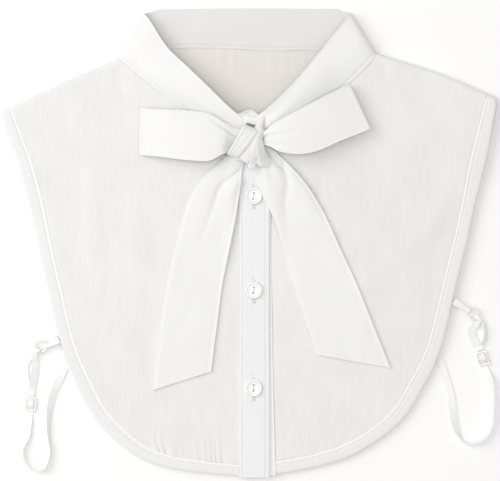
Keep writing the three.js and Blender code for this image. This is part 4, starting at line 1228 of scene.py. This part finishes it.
# The fan's rows from the collar's right end down to its free lower edge: x and y on the left, x and y on
# the right, height
fan_rows = np.array([
    (8.4, 90.4, 11.6, 89.4, 13.2),
    (6.6, 88.0, 11.6, 86.2, 15.2),
    (4.8, 83.8, 10.8, 82.0, 17.6),
    (3.4, 79.4, 9.6, 78.0, 21.0),
    (0.2, 75.2, 8.2, 74.2, 23.6),
    (-4.0, 69.4, 8.8, 69.6, 24.2),
    (-8.2, 63.2, 11.0, 63.4, 21.6),
    (-11.2, 58.6, 14.4, 56.8, 16.6),
])

# The fan's scalloped lower edge: share of the way across, how far the edge hangs below its last row
scallops = np.array([
    (0, 0), (0.14, 0.4), (0.3, 0.2), (0.37, 3.0), (0.45, 6.4), (0.53, 5.0),
    (0.63, 1.8), (0.7, 3.6), (0.86, 3.8), (0.97, 1.6), (1, 0),
])


def fan_surface(u, v):
    """The pleated fan, which spreads and falls towards its scalloped edge."""
    line = curve_through(fan_rows, v)
    x, y = mix(line[:, 0], line[:, 2], u), mix(line[:, 1], line[:, 3], u)
    hang = curve_through(scallops, np.interp(u, scallops[:, 0], np.linspace(0, 1, len(scallops))))[:, 1]
    y = y - hang * ramp(0.6, 1.0, v)
    spread = ramp(0.35, 0.9, v)
    pleats = 0.12 * np.cos(u * 17 + 2.1) + 0.07 * np.cos(u * 34 - 0.6) + 0.2 * hump(u - 0.62, 0.07)
    crown = 1.2 * np.sin(math.pi * u) ** 0.7 - 0.8
    from_edge = (1 - v) * fan_fall
    rim = 0.9 * hump(from_edge, 1.2) - 0.25 * hump(from_edge - 3.0, 1.2)
    falls = (0.5 + 2.0 * spread) * ramp(0.6, 1.0, u) ** 2 + 0.8 * ramp(0.12, 0.0, u)
    falls = falls + 3.4 * ramp(0.5, 0.2, v) * ramp(0.45, 1.0, u) ** 2
    return points(x, y, line[:, 4] + pleats * spread + crown + rim - falls)


# The fold in the throat: x and y of its upper edge, x and y of its lower edge, height of each
throat_rows = np.array([
    (-15.5, 93.6, -17.0, 86.0, 13.6, 12.0),
    (-11.6, 91.2, -11.5, 84.4, 14.8, 12.8),
    (-7.4, 90.4, -6.4, 84.0, 14.6, 13.0),
    (-3.6, 92.3, -2.6, 84.0, 13.6, 14.8),
    (-0.8, 93.1, -0.6, 83.6, 13.2, 15.0),
    (2.8, 92.0, 1.8, 82.8, 13.0, 15.0),
    (5.8, 89.4, 5.0, 82.4, 12.8, 14.8),
    (10.5, 85.0, 9.0, 80.0, 11.6, 12.4),
])


def throat_surface(u, v):
    """The fold in the throat, with a lip along both edges and a dip between them."""
    line = curve_through(throat_rows, v)
    curl = ramp(0.3, 0.5, v)
    upper = 1 - u
    lips = 1.3 * hump(1 - upper, 0.1) + 1.1 * hump(upper, 0.14)
    relief = (lips - 2.0 * hump(upper - 0.7, 0.13)) * curl
    return points(
        mix(line[:, 2], line[:, 0], upper),
        mix(line[:, 3], line[:, 1], upper),
        mix(line[:, 5], line[:, 4], upper) + relief,
    )


dress(knot_wad(), bow_cotton, "cotton", "bow_knot")
wrap = lay_cloth("knot_wrap", wrap_surface, 44, 90, knot_cloth, 10, 44)
dress(wrap, bow_cotton, "cotton", "bow_knot")
fan = lay_cloth("knot_fan", fan_surface, 90, 90, knot_cloth, 20, 36)
dress(fan, bow_cotton, "cotton", "bow_knot")
throat = lay_cloth("throat_fold", throat_surface, 36, 70, knot_cloth, 11, 26)
dress(throat, bow_cotton, "cotton")


# Side straps. At each side a doubled tab of flat elastic holds a small ring. The adjustable elastic
# starts at a slider, goes round the ring, back through the slider, and loops round to the back panel.
# Rings and sliders are white coated metal. Each tape is a grid laid along its stations.
tape_width, tape_cloth, elastic_cloth = 5.0, 1.0, 0.9
tab_length, elastic_length = 30, 215
seam_gap = 0.3
ring_radius, ring_wire, ring_height, ring_bunch, ring_lead, ring_slack = 4.0, 0.75, 2.2, 0.6, 2.4, 0.42
slider_width, slider_length, slider_bar, slider_cloth, slider_bunch = 8.0, 10.0, 1.0, 1.0, 0.9
slider_ease, slider_lead = 0.2, 1.5
slot_length = (slider_length - 3 * slider_bar) / 2

# The tab's start and heading, the ring's middle, the slider's middle and heading in degrees, and the
# stations of the elastic: x, y and how far its width turns out of the table, in degrees
straps = {
    "left": {
        "tab": (-134.0, -67.4, -0.98, -0.2),
        "ring": (-146.6, -72.6),
        "slider": (-154.2, -113.0, -94),
        "inner": [(-152.4, -99.0, 25), (-150.8, -88.0, 25)],
        "outer": [(-157.4, -84.0, 0), (-157.6, -95.0, 0)],
        "loop": [
            (-156.4, -134.0, 20), (-160.2, -148.0, 60), (-153.6, -158.6, 90), (-145.0, -158.8, 90),
            (-140.2, -149.0, 80), (-141.4, -130.0, 60), (-139.4, -110.0, 30), (-130.4, -88.0, 0),
        ],
    },
    "right": {
        "tab": (142.9, -40.8, 0.84, -0.54),
        "ring": (156.4, -49.4),
        "slider": (163.0, -81.0, -76),
        "inner": [(158.4, -70.0, 15), (155.6, -62.0, 15)],
        "outer": [(164.4, -58.0, -55), (164.6, -68.0, -55)],
        "loop": [
            (169.6, -97.0, 60), (171.3, -112.0, 90), (168.6, -132.0, 90), (160.6, -139.6, 90),
            (150.6, -140.0, 80), (144.4, -129.0, 30), (140.8, -106.0, 0), (133.0, -80.4, 0),
        ],
    },
}


def level_among(rows, share, column):
    """A column's value among the rows, eased between them."""
    place = np.clip(share, 0, 1) * (len(rows) - 1)
    first = np.minimum(place.astype(int), len(rows) - 2)
    return mix(rows[first, column], rows[first + 1, column], ramp(0, 1, place - first))


def tape_surface(stations):
    """A tape along stations of x, y, height, turn of its width in degrees, and share of its width."""
    stations = np.array(stations, float)
    fine = np.linspace(0, 1, 1 + 12 * (len(stations) - 1))
    heading = heading_along(stations[:, :3], fine)
    level = points(-heading[:, 1], heading[:, 0])
    for step in range(1, len(fine)):
        if np.linalg.norm(level[step]) < 0.3:
            level[step] = level[step - 1]
        if level[step] @ level[step - 1] < 0:
            level[step] = -level[step]
        level[step] /= np.linalg.norm(level[step])

    def surface(u, v):
        angle = np.radians(level_among(stations, v, 3))
        half = level_among(stations, v, 4) * tape_width / 2
        side = np.stack([np.interp(v, fine, level[:, axis]) for axis in range(3)], axis=-1)
        side /= np.linalg.norm(side, axis=1)[:, None]
        ahead = heading_along(stations[:, :3], v)
        upright = np.cross(ahead, side)
        upright /= np.linalg.norm(upright, axis=1)[:, None]
        place = curve_through(stations[:, :3], v)
        place[:, 2] = np.maximum(place[:, 2], tape_cloth / 2 + half * abs(np.sin(angle)))
        width = side * np.cos(angle)[:, None] + upright * np.sin(angle)[:, None]
        crimp = 0.06 * np.sin(v * len(stations) * 60)[:, None] * upright * (abs(2 * u - 1) > 0.7)[:, None]
        return place + width * ((2 * u - 1) * half)[:, None] + crimp

    return surface


def hairpin(side, heading_x, heading_y):
    """The stations of the turn that a tape makes round its ring's wire, from below it to above it."""
    ring_x, ring_y = straps[side]["ring"]
    size = math.hypot(heading_x, heading_y)
    heading_x, heading_y = heading_x / size, heading_y / size
    reach = math.sqrt(ring_radius**2 - (ring_bunch * tape_width / 2) ** 2)
    wire_x, wire_y = ring_x - heading_x * reach, ring_y - heading_y * reach
    radius = ring_wire + ring_slack + tape_cloth / 2

    def station(distance, height):
        x, y = wire_x + heading_x * distance, wire_y + heading_y * distance
        return (x, y, ring_height + height, 0, ring_bunch)

    angles = [math.radians(degrees) for degrees in (-90, -45, 0, 45, 90)]
    turn = [station(radius * math.cos(angle), radius * math.sin(angle)) for angle in angles]
    return [station(-ring_lead, -radius), *turn, station(-ring_lead, radius)]


elastic = cloth_material("ribbed elastic", (0.93, 0.93, 0.93), (0.89, 0.89, 0.892), 900.0, 0.2, 0.75)
coated, tree, shader = new_material("white coated metal")
set_inputs(shader, {"Coat Weight": 0.5})
spots = noise(tree, coordinates(tree, "Object"), 700.0, 2.0)
tree.links.new(blend(tree, spots, (0.8, 0.8, 0.79), (0.9, 0.9, 0.89)), shader.inputs["Base Color"])
tree.links.new(remap(tree, spots, 0.2, 0.8, 0.2, 0.32), shader.inputs["Roughness"])


def strap_ring(side):
    """A ring bent from round wire, with a soft flat where its ends meet."""
    ring_x, ring_y = straps[side]["ring"]
    bpy.ops.object.select_all(action="DESELECT")
    bpy.ops.mesh.primitive_torus_add(
        location=(ring_x * mm, ring_y * mm, ring_height * mm),
        major_radius=ring_radius * mm,
        minor_radius=ring_wire * mm,
        major_segments=64,
        minor_segments=16,
    )
    ring = bpy.context.object
    for vertex in ring.data.vertices:
        near_join = math.exp(-((math.atan2(vertex.co.y, vertex.co.x) - 0.6) ** 2) / 0.02)
        vertex.co.z *= 1 - 0.12 * near_join
    bpy.ops.object.shade_smooth()
    return join([ring], "wire_ring_" + side)


def strap_slider(side):
    """A slider with two slots: a plate whose two windows are inset and pushed out, with round edges."""
    x, y, heading = straps[side]["slider"]
    bpy.ops.object.select_all(action="DESELECT")
    bpy.ops.mesh.primitive_grid_add(x_subdivisions=5, y_subdivisions=3, size=1)
    slider = bpy.context.object
    stops_x = np.cumsum([-slider_length / 2, slider_bar, slot_length, slider_bar, slot_length, slider_bar])
    half_width = slider_width / 2
    stops_y = [-half_width, slider_bar - half_width, half_width - slider_bar, half_width]
    for vertex in slider.data.vertices:
        column, row = round((vertex.co.x + 0.5) * 5), round((vertex.co.y + 0.5) * 3)
        vertex.co = (stops_x[column] * mm, stops_y[row] * mm, 0)
    bpy.ops.object.mode_set(mode="EDIT")
    bpy.ops.mesh.select_mode(type="FACE")
    bpy.ops.mesh.select_all(action="DESELECT")
    bpy.ops.object.mode_set(mode="OBJECT")
    for face in slider.data.polygons:
        column, row = face.index % 5, face.index // 5
        face.select = row == 1 and column in (1, 3)
    bpy.ops.object.mode_set(mode="EDIT")
    bpy.ops.mesh.delete(type="FACE")
    bpy.ops.object.mode_set(mode="OBJECT")
    for kind, settings in (
        ("SOLIDIFY", {"thickness": slider_cloth * mm, "offset": 0}),
        ("BEVEL", {"width": 0.3 * mm, "segments": 3, "limit_method": "ANGLE"}),
    ):
        bpy.ops.object.modifier_add(type=kind)
        finish = slider.modifiers[-1]
        for key, value in settings.items():
            setattr(finish, key, value)
        bpy.ops.object.modifier_apply(modifier=finish.name)
    bpy.ops.transform.rotate(value=-math.radians(heading), orient_axis="Z", center_override=(0, 0, 0))
    bpy.ops.transform.translate(value=(x * mm, y * mm, (tape_cloth + seam_gap + slider_cloth / 2) * mm))
    bpy.ops.object.shade_smooth_by_angle(angle=math.radians(40))
    return join([slider], "wire_slider_" + side)


for side, facts in straps.items():
    tab_x, tab_y, heading_x, heading_y = facts["tab"]
    seat = float(front_height(np.array(tab_x), np.array(tab_y)))
    apart = (tape_cloth + seam_gap) / 2
    tab_stations = [
        (tab_x, tab_y, seat - apart, 0, 1),
        *hairpin(side, heading_x, heading_y),
        (tab_x, tab_y, seat + apart, 0, 1),
    ]
    tape = tape_surface(tab_stations)
    tab = lay_cloth("tab_tape_" + side, tape, 10, 90, elastic_cloth, tape_width, tab_length)
    dress(tab, elastic, "elastic", "strap_tab_" + side)

    slider_x, slider_y, heading = facts["slider"]
    ahead_x, ahead_y = math.cos(math.radians(heading)), math.sin(math.radians(heading))
    under = tape_cloth / 2
    over = tape_cloth + 2 * seam_gap + slider_cloth + tape_cloth / 2

    def on_slider(distance, height):
        return (slider_x + ahead_x * distance, slider_y + ahead_y * distance, height, 0, slider_bunch)

    bar_edge = slider_bar / 2 + slider_ease
    slot_end = slider_bar / 2 + slot_length - slider_ease
    clear = slider_length / 2 + slider_lead
    first_x, first_y, _ = facts["outer"][0]
    ring_x, ring_y = facts["ring"]
    stations = [
        on_slider(-slider_length / 2 - 3 * seam_gap, tape_cloth + seam_gap + slider_cloth / 2),
        *[(x, y, under, turn, 1) for x, y, turn in facts["inner"]],
        *hairpin(side, ring_x - first_x, ring_y - first_y)[::-1],
        *[(x, y, under, turn, 1) for x, y, turn in facts["outer"]],
        on_slider(-clear, under),
        on_slider(-slot_end, under),
        on_slider(-bar_edge, over),
        on_slider(bar_edge, over),
        on_slider(slot_end, under),
        on_slider(clear, under),
        *[(x, y, under, turn, 1) for x, y, turn in facts["loop"]],
    ]
    tape = tape_surface(stations)
    strap = lay_cloth("elastic_tape_" + side, tape, 10, 420, elastic_cloth, tape_width, elastic_length)
    dress(strap, elastic, "elastic", "side_strap_" + side)
    dress(strap_ring(side), coated, "hardware", "strap_ring_" + side)
    dress(strap_slider(side), coated, "hardware", "strap_slider_" + side)


# Floor, light and camera. The collar lies on a plain white table under a large soft lamp at the upper
# left and one overhead, with a pale room around it, and the camera looks straight down.
view_width, view_middle_y, view_level = 0.35, 0.00175, 0.008
camera_height = 2.4
sensor = 36.0

bpy.ops.object.select_all(action="DESELECT")
bpy.ops.mesh.primitive_plane_add(size=8, location=(0, 0, -0.0002))
table = bpy.context.object
table.name = "table"
white, tree, shader = new_material("white table")
cloudy = noise(tree, coordinates(tree, "Object"), 2.0, 2.0)
tree.links.new(blend(tree, cloudy, (0.93, 0.93, 0.93), (0.95, 0.95, 0.95)), shader.inputs["Base Color"])
set_inputs(shader, {"Roughness": 0.9, "Specular IOR Level": 0.1})
table.data.materials.append(white)


def softbox(name, location, size, power):
    """A square lamp that faces the middle of the table."""
    bpy.ops.object.light_add(type="AREA", location=location)
    lamp = bpy.context.object
    lamp.name = name
    lamp.data.size = size
    lamp.data.energy = power
    toward = -lamp.location.normalized()
    lamp.rotation_euler = toward.to_track_quat("-Z", "Y").to_euler()


softbox("key", (-1.15, 0.42, 1.15), 1.2, 12)
softbox("top", (0, 0, 3.0), 1.2, 30)
room = bpy.data.worlds.new("room")
room.use_nodes = True
room.node_tree.nodes["Background"].inputs[0].default_value = (1, 0.988, 0.97, 1)
room.node_tree.nodes["Background"].inputs[1].default_value = 0.5
bpy.context.scene.world = room
bpy.context.scene.view_settings.view_transform = "Standard"

bpy.ops.object.camera_add(location=(0, view_middle_y, camera_height), rotation=(0, 0, 0))
camera = bpy.context.object
camera.data.sensor_width = sensor
camera.data.lens = sensor * (camera_height - view_level) / view_width
camera.data.clip_end = 20
bpy.context.scene.camera = camera
